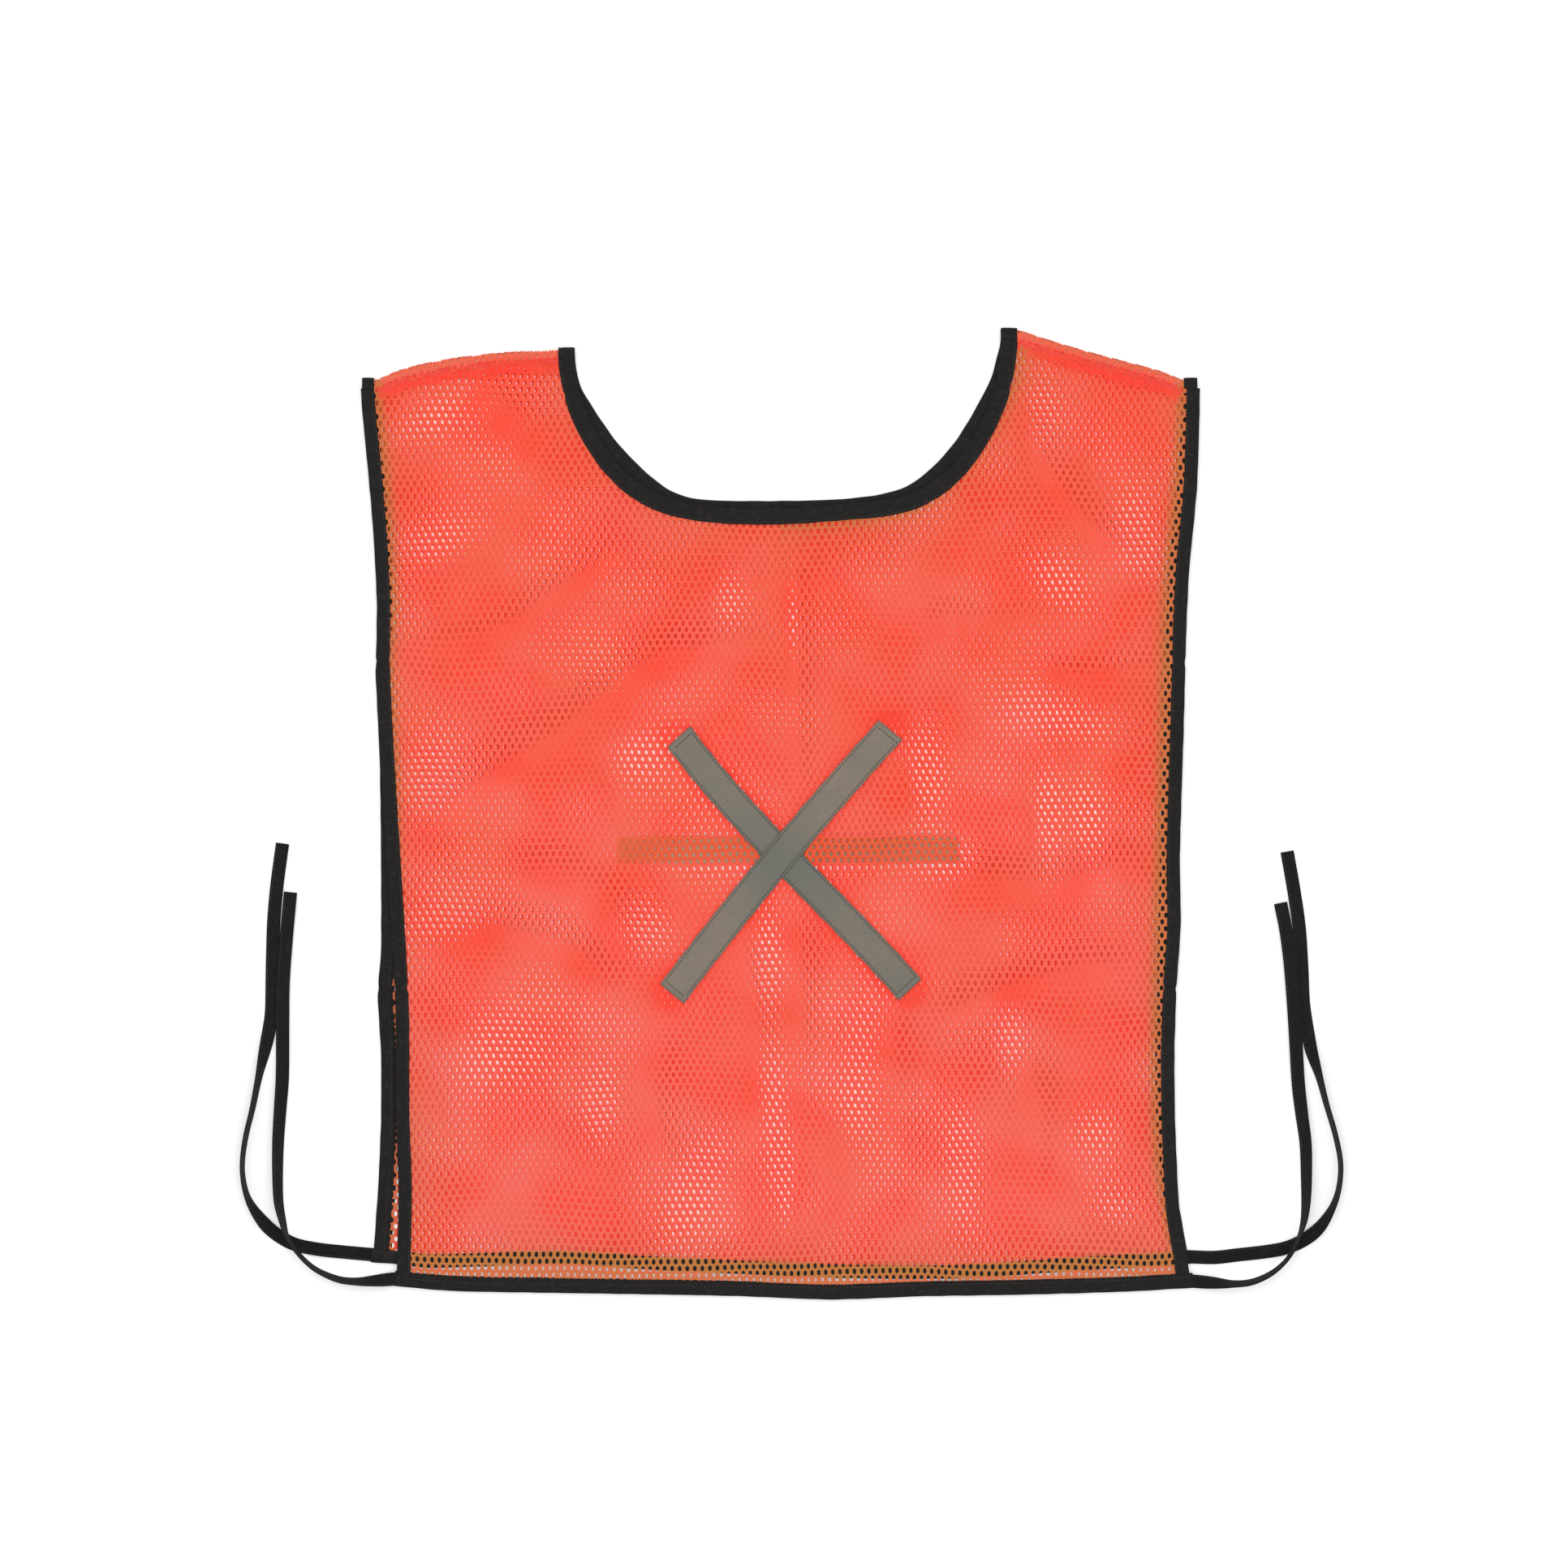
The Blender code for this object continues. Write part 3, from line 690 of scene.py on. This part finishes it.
def thread_material():
    """Black polyester thread, twisted."""
    material, tree, shader = new_material("sewing_thread")
    twist = noise(tree, 3200.0, 1.0)
    base = blend_colours(tree, twist, *THREAD_SHADES)
    surface(tree, shader, base, spread(tree, twist, 0.4, 0.6), twist, 0.0001, {})
    return material


def reflective_material(name, light):
    """Grey glass-bead tape: fine beads, and slow patches of painted light, warm and lighter towards a
    strip's ends, over a cool, darker grey of painted shade.
    """
    material, tree, shader = new_material(name)
    beads = texture(tree, "Voronoi", {"Scale": 1600.0}, output="Distance")
    slow = spread(tree, noise(tree, 26.0, 3.0), 0.7, 1.2, 0.35, 0.65)
    grain = noise(tree, 420.0, 3.0)
    # Painted light: the strip's stored light, broken into slow patches.
    painted_light_patches = math(tree, "MULTIPLY", attribute(tree, "painted_bead_light"), slow)
    cool, warm = lit(BEADS_SHADED_COOL, light), lit(BEADS_LIT_WARM, light)
    base = blend_colours(tree, painted_light_patches, cool, warm)
    base = overlay(tree, base, cool, grain, 0.40, 0.4, 0.75)
    base = blend_colours(tree, spread(tree, beads, 0.25, 0.0, 0.0, 0.7), base, BEAD)
    surface(tree, shader, base, spread(tree, grain, 0.38, 0.55), math(tree, "ADD", beads, grain),
            0.00012, {"Metallic": 0.15, "Specular IOR Level": 0.5})
    return material


MESH = mesh_material()
SEAM_CLOTH = seam_material()
BINDING = tape_material("binding_tape", 1.0)
TIE = tape_material("tie_tape", 0.66)
THREAD = thread_material()
REFLECTIVE = reflective_material("reflective_tape", 1.0)
# The bar's copy of the bead tape, made 2.4 times lighter: painted light against the shade it lies in
# beneath both panels.
BACKING_LIGHTENED = reflective_material("reflective_backing_lightened", 2.4)

# ------------ open mesh


def knit_spot(across, upward):
    """Return the spot of a place in the knit, counted in half pitches and in thirds of a row."""
    return across * HOLE_PITCH / 2, upward * ROW_PITCH / 3


def lattice(layer):
    """Return the places in the knit of the holes inside a panel."""
    columns = np.arange(int(vest_low.x / HOLE_PITCH) - 2, int(vest_high.x / HOLE_PITCH) + 3)
    rows = np.arange(int(vest_low.y / ROW_PITCH) - 2, int(vest_high.y / ROW_PITCH) + 6)
    column, row = (grid.ravel() for grid in np.meshgrid(columns, rows))
    across, upward = 2 * column + row % 2, 3 * row
    x, y = warp(layer, *knit_spot(across, upward))
    neck = NECKS[layer]
    at_neck = (x > neck[0, 0]) & (x < neck[-1, 0]) & (y > y_of(neck, x))
    inside = (x > x_of(SIDES[layer, "left"], y)) & (x < x_of(SIDES[layer, "right"], y))
    inside &= (y > y_of(HEMS[layer], x)) & ~at_neck
    reach = (pi - 2) * SHOULDER_ROLL + SEAM_DROP if layer == "back" else -SEAM_DROP
    inside &= y < shoulder_top(x) + reach - SEAM_GAP
    return across[inside], upward[inside]


def warp(layer, x, y):
    """Move spots of the knit as the cloth is pulled, so that the two panels' holes part and meet."""
    pull = 0.0022 * waves(x, y, 0.6)
    rise = 0.0026 * waves(y, x, 1.9)
    if layer == "front":
        closed = 1 - openness(x, y)
        pull = pull + HOLE_PITCH / 2 * closed + 0.0007 * closed * waves(x * 2, y * 2, 3.1)
        rise = rise + 0.0012 * closed * waves(y * 2, x * 2, 0.3) + 0.0013 * (1 - closed)
    return x + pull, y + rise


def over_bar(x, y):
    """Return 1 over the bar that shows through the cloth, and 0 off it."""
    low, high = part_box("reflective_bar_back")
    return (smooth((x - low.x) / 0.003) * smooth((high.x - x) / 0.003)
            * smooth((y - low.y) / 0.002) * smooth((high.y - y) / 0.002))


def past(distance, start, fade):
    """Return 1 up to a distance from something, and less and less beyond it."""
    return np.exp(-np.maximum(0, distance - start) / fade)


def painted_shade_by_tapes(layer, x, y):
    """Return how much painted shade turns each spot ochre: by the dark tapes, below the back hem, over the
    bar and on the shoulder roll.
    """
    tape = TAPE_WIDTH / 2
    bar = over_bar(x, y)
    aside = np.minimum(*[np.abs(x - x_of(SIDES["back", hand], y)) for hand in HANDS])
    if layer == "back":
        fold = 0.20 * (y > 0) * smooth((y - shoulder_top(x) + 0.006) / 0.004)
        under_tape = 0.65 * smooth((tape + UNDER_FOLD + 0.003 - aside) / 0.004)
        return np.maximum.reduce([0.35 * bar, fold, under_tape])
    below = y_of(HEMS["back"], x) - y
    over_hem = smooth((tape + 0.0014 - np.abs(below)) / 0.0018)
    near_hem = 0.24 * past(np.abs(below), tape, 0.013)
    hem_strip = 0.68 * smooth((below - tape) / 0.002)
    corner = 0.36 * past(x - SIDES["front", "left"][0, 0], tape, 0.020) * smooth((-0.10 - y) / 0.16)
    from_neck = np.abs(near_line(x, y, NECKS["back"])[0])
    near_neck = np.where(x > 0, 0.45, 0.15) * past(from_neck, 0.012, 0.012)
    near_neck = near_neck + 0.25 * past(from_neck, 0.014, 0.0015) * (x > 0)
    near_side = 0.75 * past(aside, tape + 0.0015, 0.0045)
    return np.clip(np.maximum.reduce([over_hem, near_hem, hem_strip, corner, near_neck, near_side,
                                      0.36 * bar]), 0, 1)


def painted_shade_and_red_tone(layer, x, y):
    """Return how much deeper a red each spot is: painted shade in creases, below seams, by strips, over the
    bar and on the back, and random tone; also where panels part.
    """
    blotch = smooth(0.5 + 0.9 * waves(x * 2.1 + 0.05, y * 2.1, 2.7))
    drop = shoulder_top(x) - y
    # Painted shade over the bar, which lies behind the cloth.
    bar = 0.4 * over_bar(x, y)
    if layer == "back":
        # On the back panel, slow patches of painted shade, but none on the roll over the shoulder.
        fold = (y > 0) * smooth((0.0075 - drop) / 0.003)
        return np.clip((0.12 + 0.70 * blotch) * (1 - fold) + bar, 0, 1)
    # Painted shade along the creases.
    creased = 0.36 * crease_fields(x, y)[1] * (0.5 + 0.5 * blotch)
    # A painted shadow line below each shoulder seam.
    seam = 1.15 * bell(drop - SEAM_DROP - 0.0025, 0.0065) * (y > 0)
    # Distance from the strips, for the painted shade beside them.
    from_strips = np.ones(x.shape)
    for node in ("reflective_strip_under", "reflective_strip_over"):
        ends, width = strip_line(node)
        from_strips = np.minimum(from_strips, np.abs(near_line(x, y, ends)[0]) - width / 2)
    return np.clip(0.08 + creased + 0.35 * openness(x, y) + seam + 0.18 * blotch
                   + 0.6 * past(from_strips, 0, 0.005) + bar, 0, 1)


def open_mesh(name, layer):
    """Make one panel of the mesh: a ring of cloth round each hole."""
    across, upward = lattice(layer)
    around = np.array([(0, 2), (1, 1), (1, -1), (0, -2), (-1, -1), (-1, 1)])
    keys = np.stack([across[:, None] + around[:, 0], upward[:, None] + around[:, 1]], axis=-1)
    keys, corner_ids = np.unique(keys.reshape(-1, 2), axis=0, return_inverse=True)
    corner_ids = corner_ids.reshape(-1, 6)
    corner_x, corner_y = knit_spot(*keys.T)
    middle_x, middle_y = knit_spot(across, upward)
    x, y = warp(layer, middle_x, middle_y)
    creased = crease_fields(x, y)[1] if layer == "front" else 0
    single = smooth((y_of(HEMS["back"], x) - TAPE_WIDTH / 2 - y) / 0.002)
    wide = HOLE_WIDTH / 2 * (1 - 0.45 * creased) * (1 - 0.36 * single)
    tall = HOLE_HEIGHT / 2 * (1 - 0.30 * creased) * (1 - 0.24 * single)
    rim_x = middle_x[:, None] + wide[:, None] * around[:, 0]
    rim_y = middle_y[:, None] + tall[:, None] * around[:, 1] / 2
    x, y = warp(layer, np.concatenate([corner_x, rim_x.ravel()]), np.concatenate([corner_y, rim_y.ravel()]))
    if layer == "back":
        y, z = rolled(x, y)
    else:
        z = front_height(x, y)
    z[len(corner_x):] -= STRAND_ROUNDING
    rim_ids = len(corner_x) + np.arange(rim_x.size).reshape(-1, 6)
    quads = np.stack([corner_ids, rim_ids, np.roll(rim_ids, -1, axis=1),
                      np.roll(corner_ids, -1, axis=1)], axis=-1)
    mesh = build_mesh(name, np.column_stack([x, y, z]), quads)
    share = (y - vest_low.y) / VEST_SIZE.y
    store(mesh, "painted_shade_and_red_tone", painted_shade_and_red_tone(layer, x, y))
    store(mesh, "painted_tape_shade", painted_shade_by_tapes(layer, x, y))
    store(mesh, "pinkness", np.clip(1.05 - 1.3 * share + 0.45 * waves(x * 1.7, y * 1.7, 3.9), 0, 1))
    return new_piece(name, mesh, MESH)


# ------------ tapes and stitches


def folded_profile(width, thickness):
    """Return the outline of a tape folded round an edge, from the fold round and back."""
    upper = [(-1, 0), (-0.97, 0.62), (-0.86, 0.96), (-0.35, 1), (0.35, 0.94), (0.58, 0.80),
             (0.70, 0.62), (0.82, 0.84), (0.97, 0.78)]
    lower = [(across, -up) for across, up in reversed(upper[1:])]
    return np.array(upper + lower) * (width / 2, thickness / 2)


def stitch_row(name, line, across, offset, lift):
    """Lay a row of thread stitches along a line, off to one side of it and above it."""
    ahead, across, upward = line_frames(line, across)
    path = line + across * offset + upward * lift
    lengths = distances(path)
    stops = np.arange(STITCH_PITCH, lengths[-1] - STITCH_PITCH / 2, STITCH_PITCH)
    middle, forward, side, up = (sampled(rows, lengths, stops) for rows in (path, ahead, across, upward))
    # Rings of each stitch: place along it, girth and how deep it sinks.
    sections = [(-0.5, 0.25, -0.9), (-0.25, 0.95, 0.0), (0.25, 0.95, 0.0), (0.5, 0.25, -0.9)]
    rings = []
    for along, girth, sink in sections:
        for k in range(STITCH_SIDES):
            turn = 2 * pi * k / STITCH_SIDES
            rings.append(middle + forward * (along * STITCH_LENGTH)
                         + side * (girth * STITCH_RADIUS * cos(turn))
                         + up * (STITCH_RADIUS * (girth * sin(turn) + sink)))
    spots = np.stack(rings, axis=1)
    last = (len(sections) - 1) * STITCH_SIDES
    quads = [(3, 2, 1, 0), (5, 4, 3, 0), (last, last + 1, last + 2, last + 3),
             (last, last + 3, last + 4, last + 5)]
    for low in range(0, last, STITCH_SIDES):
        for k in range(STITCH_SIDES):
            after = (k + 1) % STITCH_SIDES
            quads.append((low + k, low + after, low + STITCH_SIDES + after, low + STITCH_SIDES + k))
    quads = np.array(quads)[None] + (np.arange(len(stops)) * spots.shape[1])[:, None, None]
    return new_piece(name, build_mesh(name, spots, quads), THREAD)


def bound_edge(name, line, inward, width, under=0.0, narrow=0.0):
    """Fold a tape round an edge; its hidden side reaches further in, and both may be narrower."""
    travel = np.arange(len(line))
    narrow = (narrow + np.zeros(len(line)))[:, None]
    face_up = 1 if np.median(line_frames(line, inward)[2][:, 2]) > 0 else -1
    profile = folded_profile(width, TAPE_THICKNESS) * (1, face_up)
    profiles = np.repeat(profile[None], len(line), axis=0)
    breadth = 1 + 0.022 * np.sin(travel * 0.83) * np.sin(travel * 0.117 + 1.0)
    puff = 1 + 0.10 * np.sin(travel * 0.31) * np.sin(travel * 0.053 + 0.4)
    for tape, hand, height in PRESSED:
        if name.startswith(tape):
            notch = bell(line[:, 1] - height, 0.0022) * (line[:, 0] * hand >= 0)
            breadth = breadth - 0.15 * notch
            puff = puff - 0.80 * notch
    profiles[:, :, 0] = profiles[:, :, 0] * breadth[:, None] * (1 - narrow / width) - narrow / 2
    profiles[:, :, 1] *= puff[:, None]
    hidden = (profile[:, 1] * face_up < 0) & (profile[:, 0] > 0)
    profiles[:, hidden, 0] += (under + np.zeros(len(line)))[:, None]
    piece = sweep(name, line, inward, profiles, BINDING)
    stitches = stitch_row(name + "_stitches", line, inward, STITCH_SHARE * width - 0.85 * narrow,
                          face_up * 0.33 * TAPE_THICKNESS)
    return [piece, stitches]


def flat_line(points, layer):
    """Lay a flat route on a layer's cloth, with the corners between its points smoothed out."""
    line = even_steps(points, LINE_STEP)
    for _ in range(6):
        line[1:-1] = 0.25 * line[:-2] + 0.5 * line[1:-1] + 0.25 * line[2:]
    return np.column_stack([line, HEIGHTS[layer](line[:, 0], line[:, 1])])


def over_shoulder(line, top):
    """Carry the end of a back tape over the shoulder to the front seam."""
    x, base = line[-1][0], line[-1][2]
    axis = top - SHOULDER_ROLL - TAPE_THICKNESS / 2
    kept = list(line)
    while kept[-1][1] > axis - 0.0015:
        kept.pop()
    roll = [(x, axis + SHOULDER_ROLL * sin(t), base + SHOULDER_ROLL * (1 - cos(t)))
            for t in np.linspace(0, pi, 11)]
    lip = [(x, y, base + 2 * SHOULDER_ROLL)
           for y in np.linspace(axis - 0.002, top - SEAM_DROP + 0.0008, 4)]
    return np.vstack([kept, roll, lip])


def stretched(line, start, end):
    """Return a flat line whose two ends reach further by the given lengths."""
    line = np.array(line, dtype=float)
    before, after = line[0] - line[2], line[-1] - line[-3]
    first = line[0] + before / norm(before) * start
    last = line[-1] + after / norm(after) * end
    return np.vstack([first, line[1:-1], last])


def inward_along(line, side):
    """Return the flat direction across a line, to its left if side is 1."""
    ahead = np.gradient(line, axis=0)
    across = np.column_stack([-ahead[:, 1], ahead[:, 0], np.zeros(len(line))]) * side
    return across / np.maximum(1e-9, norm(across, axis=1))[:, None]


def attach(pieces, layer, node):
    """Fix the back's pieces to the back's body and set the front's in place, and hide the node they
    replace.
    """
    for piece in pieces:
        if layer == "back":
            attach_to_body(piece, "back")
        else:
            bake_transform(piece)
    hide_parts(node)


def build_side(layer, hand):
    """Make one side binding; a back one runs over its shoulder."""
    line = flat_line(stretched(SIDES[layer, hand], TUCK, 0.0015 if layer == "front" else 0), layer)
    side = -1 if hand == "left" else 1
    narrow, under = 0.0, 0.0
    if layer == "back":
        top = SHOULDERS[hand][0][1] + TAPE_THICKNESS / 2
        line = over_shoulder(line, top)
        if hand == "left":
            narrow = 0.0011
            under = UNDER_FOLD * (0.5 + 0.5 * smooth((-0.05 - line[:, 1]) / 0.10))
            under = under * smooth((top - SEAM_DROP - line[:, 1]) / 0.01)
    inward = inward_along(line, side)
    if layer == "back":
        inward[line[:, 1] > top - SEAM_DROP - 0.003] = (-side, 0, 0)
    pieces = bound_edge("binding_" + layer + "_" + hand, line, inward, TAPE_WIDTH, under, narrow)
    attach(pieces, layer, "side_binding_" + layer + "_" + hand)


def build_hem(layer):
    """Make one hem binding, which lies over the ends of the side bindings."""
    line = flat_line(stretched(HEMS[layer], 0.001, 0.001), layer)
    line[:, 2] += 0.0004
    under, narrow = 0.0, 0.0
    if layer == "front":
        narrow = 0.0024 * smooth((0.04 - line[:, 0]) / 0.16)
        under = 0.0012 + 1.1 * narrow
    pieces = bound_edge("binding_hem_" + layer, line, inward_along(line, 1), TAPE_WIDTH, under, narrow)
    for piece in pieces:
        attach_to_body(piece, layer)
    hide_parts("hem_binding_" + layer)


def build_neck(layer):
    """Make one neck binding; the back one runs over both shoulders."""
    reach = 0.0015 if layer == "front" else 0
    line = flat_line(stretched(NECKS[layer], reach, reach), layer)
    tops = {hand: SHOULDERS[hand][-1][1] + TAPE_THICKNESS / 2 for hand in HANDS}
    if layer == "back":
        line = over_shoulder(line, tops["right"])
        line = over_shoulder(line[::-1], tops["left"])[::-1]
    inward = inward_along(line, -1)
    if layer == "back":
        for hand, side in zip(HANDS, (-1, 1)):
            near_top = (line[:, 0] * side > 0) & (line[:, 1] > tops[hand] - SEAM_DROP - 0.003)
            inward[near_top] = (side, 0, 0)
    pieces = bound_edge("binding_neck_" + layer, line, inward, NECK_TAPE_WIDTH)
    attach(pieces, layer, "neck_binding_" + layer)


def build_seam(hand):
    """Make the seam that closes a shoulder: a ridge on the front and the doubled cloth under it."""
    tops = even_steps(SHOULDERS[hand][np.argsort(SHOULDERS[hand][:, 0])], LINE_STEP)[2:-2]
    line = np.column_stack([tops[:, 0], tops[:, 1] - SEAM_DROP, np.full(len(tops), SEAM_LEVEL)])
    low, ridge, flap = -SEAM_WIDTH, 0.0009, SEAM_DROP - 0.0020
    profile = [(flap, -0.0009), (1.2 * ridge, -0.0009), (0.6 * ridge, 0.0001), (-0.4 * ridge, 0.0001),
               (-ridge, -0.0005), (0.5 * low, -0.0008), (low, -0.0009), (low, -0.0012),
               (0.5 * low, -0.0012), (-ridge, -0.0010), (ridge, -0.0012), (flap, -0.0012)]
    profiles = np.repeat([profile], len(line), axis=0)
    ripple = 1 + 0.16 * np.sin(line[:, 0] * 410) + 0.10 * np.sin(line[:, 0] * 173 + 1)
    profiles[:, 5:9, 0] *= ripple[:, None]
    piece = sweep("shoulder_seam_" + hand, line, inward_along(line, 1), profiles, SEAM_CLOTH)
    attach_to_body(piece, "back")


# ------------ reflective pieces


def strip_line(node):
    """Return the left and right ends of a straight strip's middle line, and its width."""
    spots = plan(node)[0]
    centre = spots.mean(axis=0)
    longest = np.linalg.eigh(np.cov((spots - centre).T))[1][:, 1]
    along = longest * np.sign(longest[0])
    across = np.array([-along[1], along[0]])
    reach = (spots - centre) @ along
    side = (spots - centre) @ across
    middle = centre + across * (side.max() + side.min()) / 2
    return (middle + along * reach.min(), middle + along * reach.max()), side.max() - side.min()


def strip(name, node, lift, layer, over=None):
    """Make a sewn strip of reflective tape that follows the cloth, with its stitches."""
    (start, end), width = strip_line(node)
    length = norm(end - start)
    along = (end - start) / length
    across = np.array([-along[1], along[0]])
    bow_shares, bows = np.array(BOWS[name]).T
    bow = np.polynomial.Polynomial.fit(bow_shares, bows, len(bows) - 1)

    def height(x, y, stops, shares):
        rise = (front_height(x, y) if layer == "front" else BACK_LEVEL) + lift
        if over is not None:
            ends, other_width = strip_line(over)
            gap = np.abs(near_line(x, y, ends)[0]) - other_width / 2
            rise = rise + 0.00065 * smooth((0.006 - gap) / 0.006)
        for middle, ridge in RIDGES[name]:
            rise = rise + ridge * bell(stops + 0.004 * shares - middle * length, 0.0035)
        return rise - 0.00012 * bell((np.abs(shares) - 1) * width / 2 + STRIP_INSET, 0.0008)

    stops, shares = np.meshgrid(np.linspace(0, length, int(length / 0.0025)), np.linspace(-1, 1, 11),
                                indexing="ij")
    wobble = 0.00018 * np.sin(stops * 310) * np.sign(shares) * (np.abs(shares) > 0.99)
    aside = shares * width / 2 + wobble + bow(stops / length)
    x, y = (start[k] + along[k] * stops + across[k] * aside for k in range(2))
    ids = np.arange(stops.size).reshape(stops.shape)
    quads = np.stack([ids[:-1, :-1], ids[1:, :-1], ids[1:, 1:], ids[:-1, 1:]], axis=-1)
    mesh = build_mesh(name, np.stack([x, y, height(x, y, stops, shares)], axis=-1), quads)
    # Painted light on the bead tape: lighter and warmer towards the ends, darker and cooler in the middle,
    # and darker all along the lower strip.
    painted_bead_light = 0.10 + 0.9 * smooth(np.abs(stops / length - 0.5) * 4.4)
    store(mesh, "painted_bead_light", (painted_bead_light * (0.55 if name == "strip_under" else 1.0)).ravel())
    piece = new_piece(name, mesh, BACKING_LIGHTENED if layer == "back" else REFLECTIVE)
    slab = piece.modifiers.new("tape", "SOLIDIFY")
    slab.thickness = STRIP_THICKNESS
    slab.offset = -1

    near, far = STRIP_END_INSET, length - STRIP_END_INSET
    corners = [(near, -1), (far, -1), (far, 1), (near, 1), (near, -1)]
    route = [start + along * s + across * (side * (width / 2 - STRIP_INSET)) for s, side in corners]
    route = even_steps(route, 0.0012)
    travelled, share = (route - start) @ along, (route - start) @ across / (width / 2)
    route = route + across * bow(travelled / length)[:, None]
    top = height(route[:, 0], route[:, 1], travelled, share) + 0.00006
    if layer == "back":
        top = top - STRIP_THICKNESS - 0.0001
    ring = np.column_stack([route, top])
    threads = stitch_row(name + "_stitches", ring, np.repeat([[0.0, 0.0, 1.0]], len(ring), axis=0), 0, 0)
    for item in (piece, threads):
        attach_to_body(item, layer)
    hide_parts(node)


# ------------ ties


def build_tie(name, points):
    points = [point if len(point) == 4 else (*point, FLOOR_GAP) for point in points]
    rows = curve_through(np.array(points) * (0.001, 0.001, 1, 0.001), LINE_STEP)
    rows[0, :2] += (rows[0, :2] - rows[1, :2]) * 0.5
    lean = np.clip(rows[:, 2], 0, 0.95) * pi / 2
    half_height = (TIE_THICKNESS * np.cos(lean) + TIE_WIDTH * np.sin(lean)) / 2
    line = np.column_stack([rows[:, :2], np.maximum(rows[:, 3], 0.0001) + half_height])
    # The tape's face turns away from the middle of the vest as it leans.
    outward = -1.0 if "right" in name else 1.0
    across = inward_along(line, 1) * np.cos(lean)[:, None]
    across[:, 2] = outward * np.sin(lean)
    profiles = np.repeat([folded_profile(TIE_WIDTH, TIE_THICKNESS)], len(line), axis=0)
    tape_name = name.replace("tie_", "tie_tape_")
    piece = sweep(tape_name, line, across, profiles, TIE)
    threads = stitch_row(tape_name + "_stitches", line, across, STITCH_SHARE * TIE_WIDTH,
                         0.30 * TIE_THICKNESS)
    for item in (piece, threads):
        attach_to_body(item, "front" if "front" in name else "back")
    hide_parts(name)
    round(float(distances(line)[-1]), 3)


# ------------ the stage


def build_stage():
    """A white floor, soft white light from all round and a camera looking straight down."""
    bpy.ops.mesh.primitive_plane_add(size=8.0, location=(0, 0, -0.0004))
    floor = bpy.context.object
    floor.name = "floor"
    material, tree, shader = new_material("floor")
    set_inputs(shader, {"Base Color": (0.90, 0.90, 0.90, 1), "Roughness": 0.9,
                        "Emission Color": (1, 1, 1, 1), "Emission Strength": 0.23})
    floor.data.materials.append(material)
    world = bpy.data.worlds.new("studio")
    world.use_nodes = True
    set_inputs(world.node_tree.nodes["Background"], {"Color": (1, 1, 1, 1), "Strength": 0.85})
    bpy.context.scene.world = world
    for name, spot, power in (("key_light", (-0.9, 1.1, 2.4), 16.0),
                              ("fill_light", (1.2, -0.6, 2.4), 10.0)):
        lamp = bpy.data.lights.new(name, "AREA")
        lamp.size = 2.2
        lamp.energy = power
        light = link(name, lamp)
        light.location = spot
        light.rotation_euler = (-Vector(spot)).to_track_quat("-Z", "Y").to_euler()
    eye = bpy.data.cameras.new("camera")
    eye.sensor_width = SENSOR
    eye.lens = SENSOR * CAMERA_HEIGHT / VIEW_WIDTH
    eye.clip_end = 50
    camera = link("camera", eye)
    camera.location = (*VIEW_CENTRE, CAMERA_HEIGHT)
    bpy.context.scene.camera = camera
    bpy.context.scene.view_settings.view_transform = "Standard"


# ------------ putting it together


def build_panels():
    for layer in LAYERS:
        piece = open_mesh("mesh_panel_" + layer, layer)
        node = layer + "_mesh_panel"
        attach([piece], layer, node)


build_stage()
for tie_name, tie_points in TIES.items():
    build_tie(tie_name, tie_points)
build_panels()
for layer_name in LAYERS:
    for hand_name in HANDS:
        build_side(layer_name, hand_name)
    build_hem(layer_name)
    build_neck(layer_name)
for hand_name in HANDS:
    build_seam(hand_name)
strip("strip_under", "reflective_strip_under", STRIP_LIFT, "front")
strip("strip_over", "reflective_strip_over", STRIP_LIFT, "front", over="reflective_strip_under")
strip("bar_back", "reflective_bar_back", BAR_LIFT, "back")
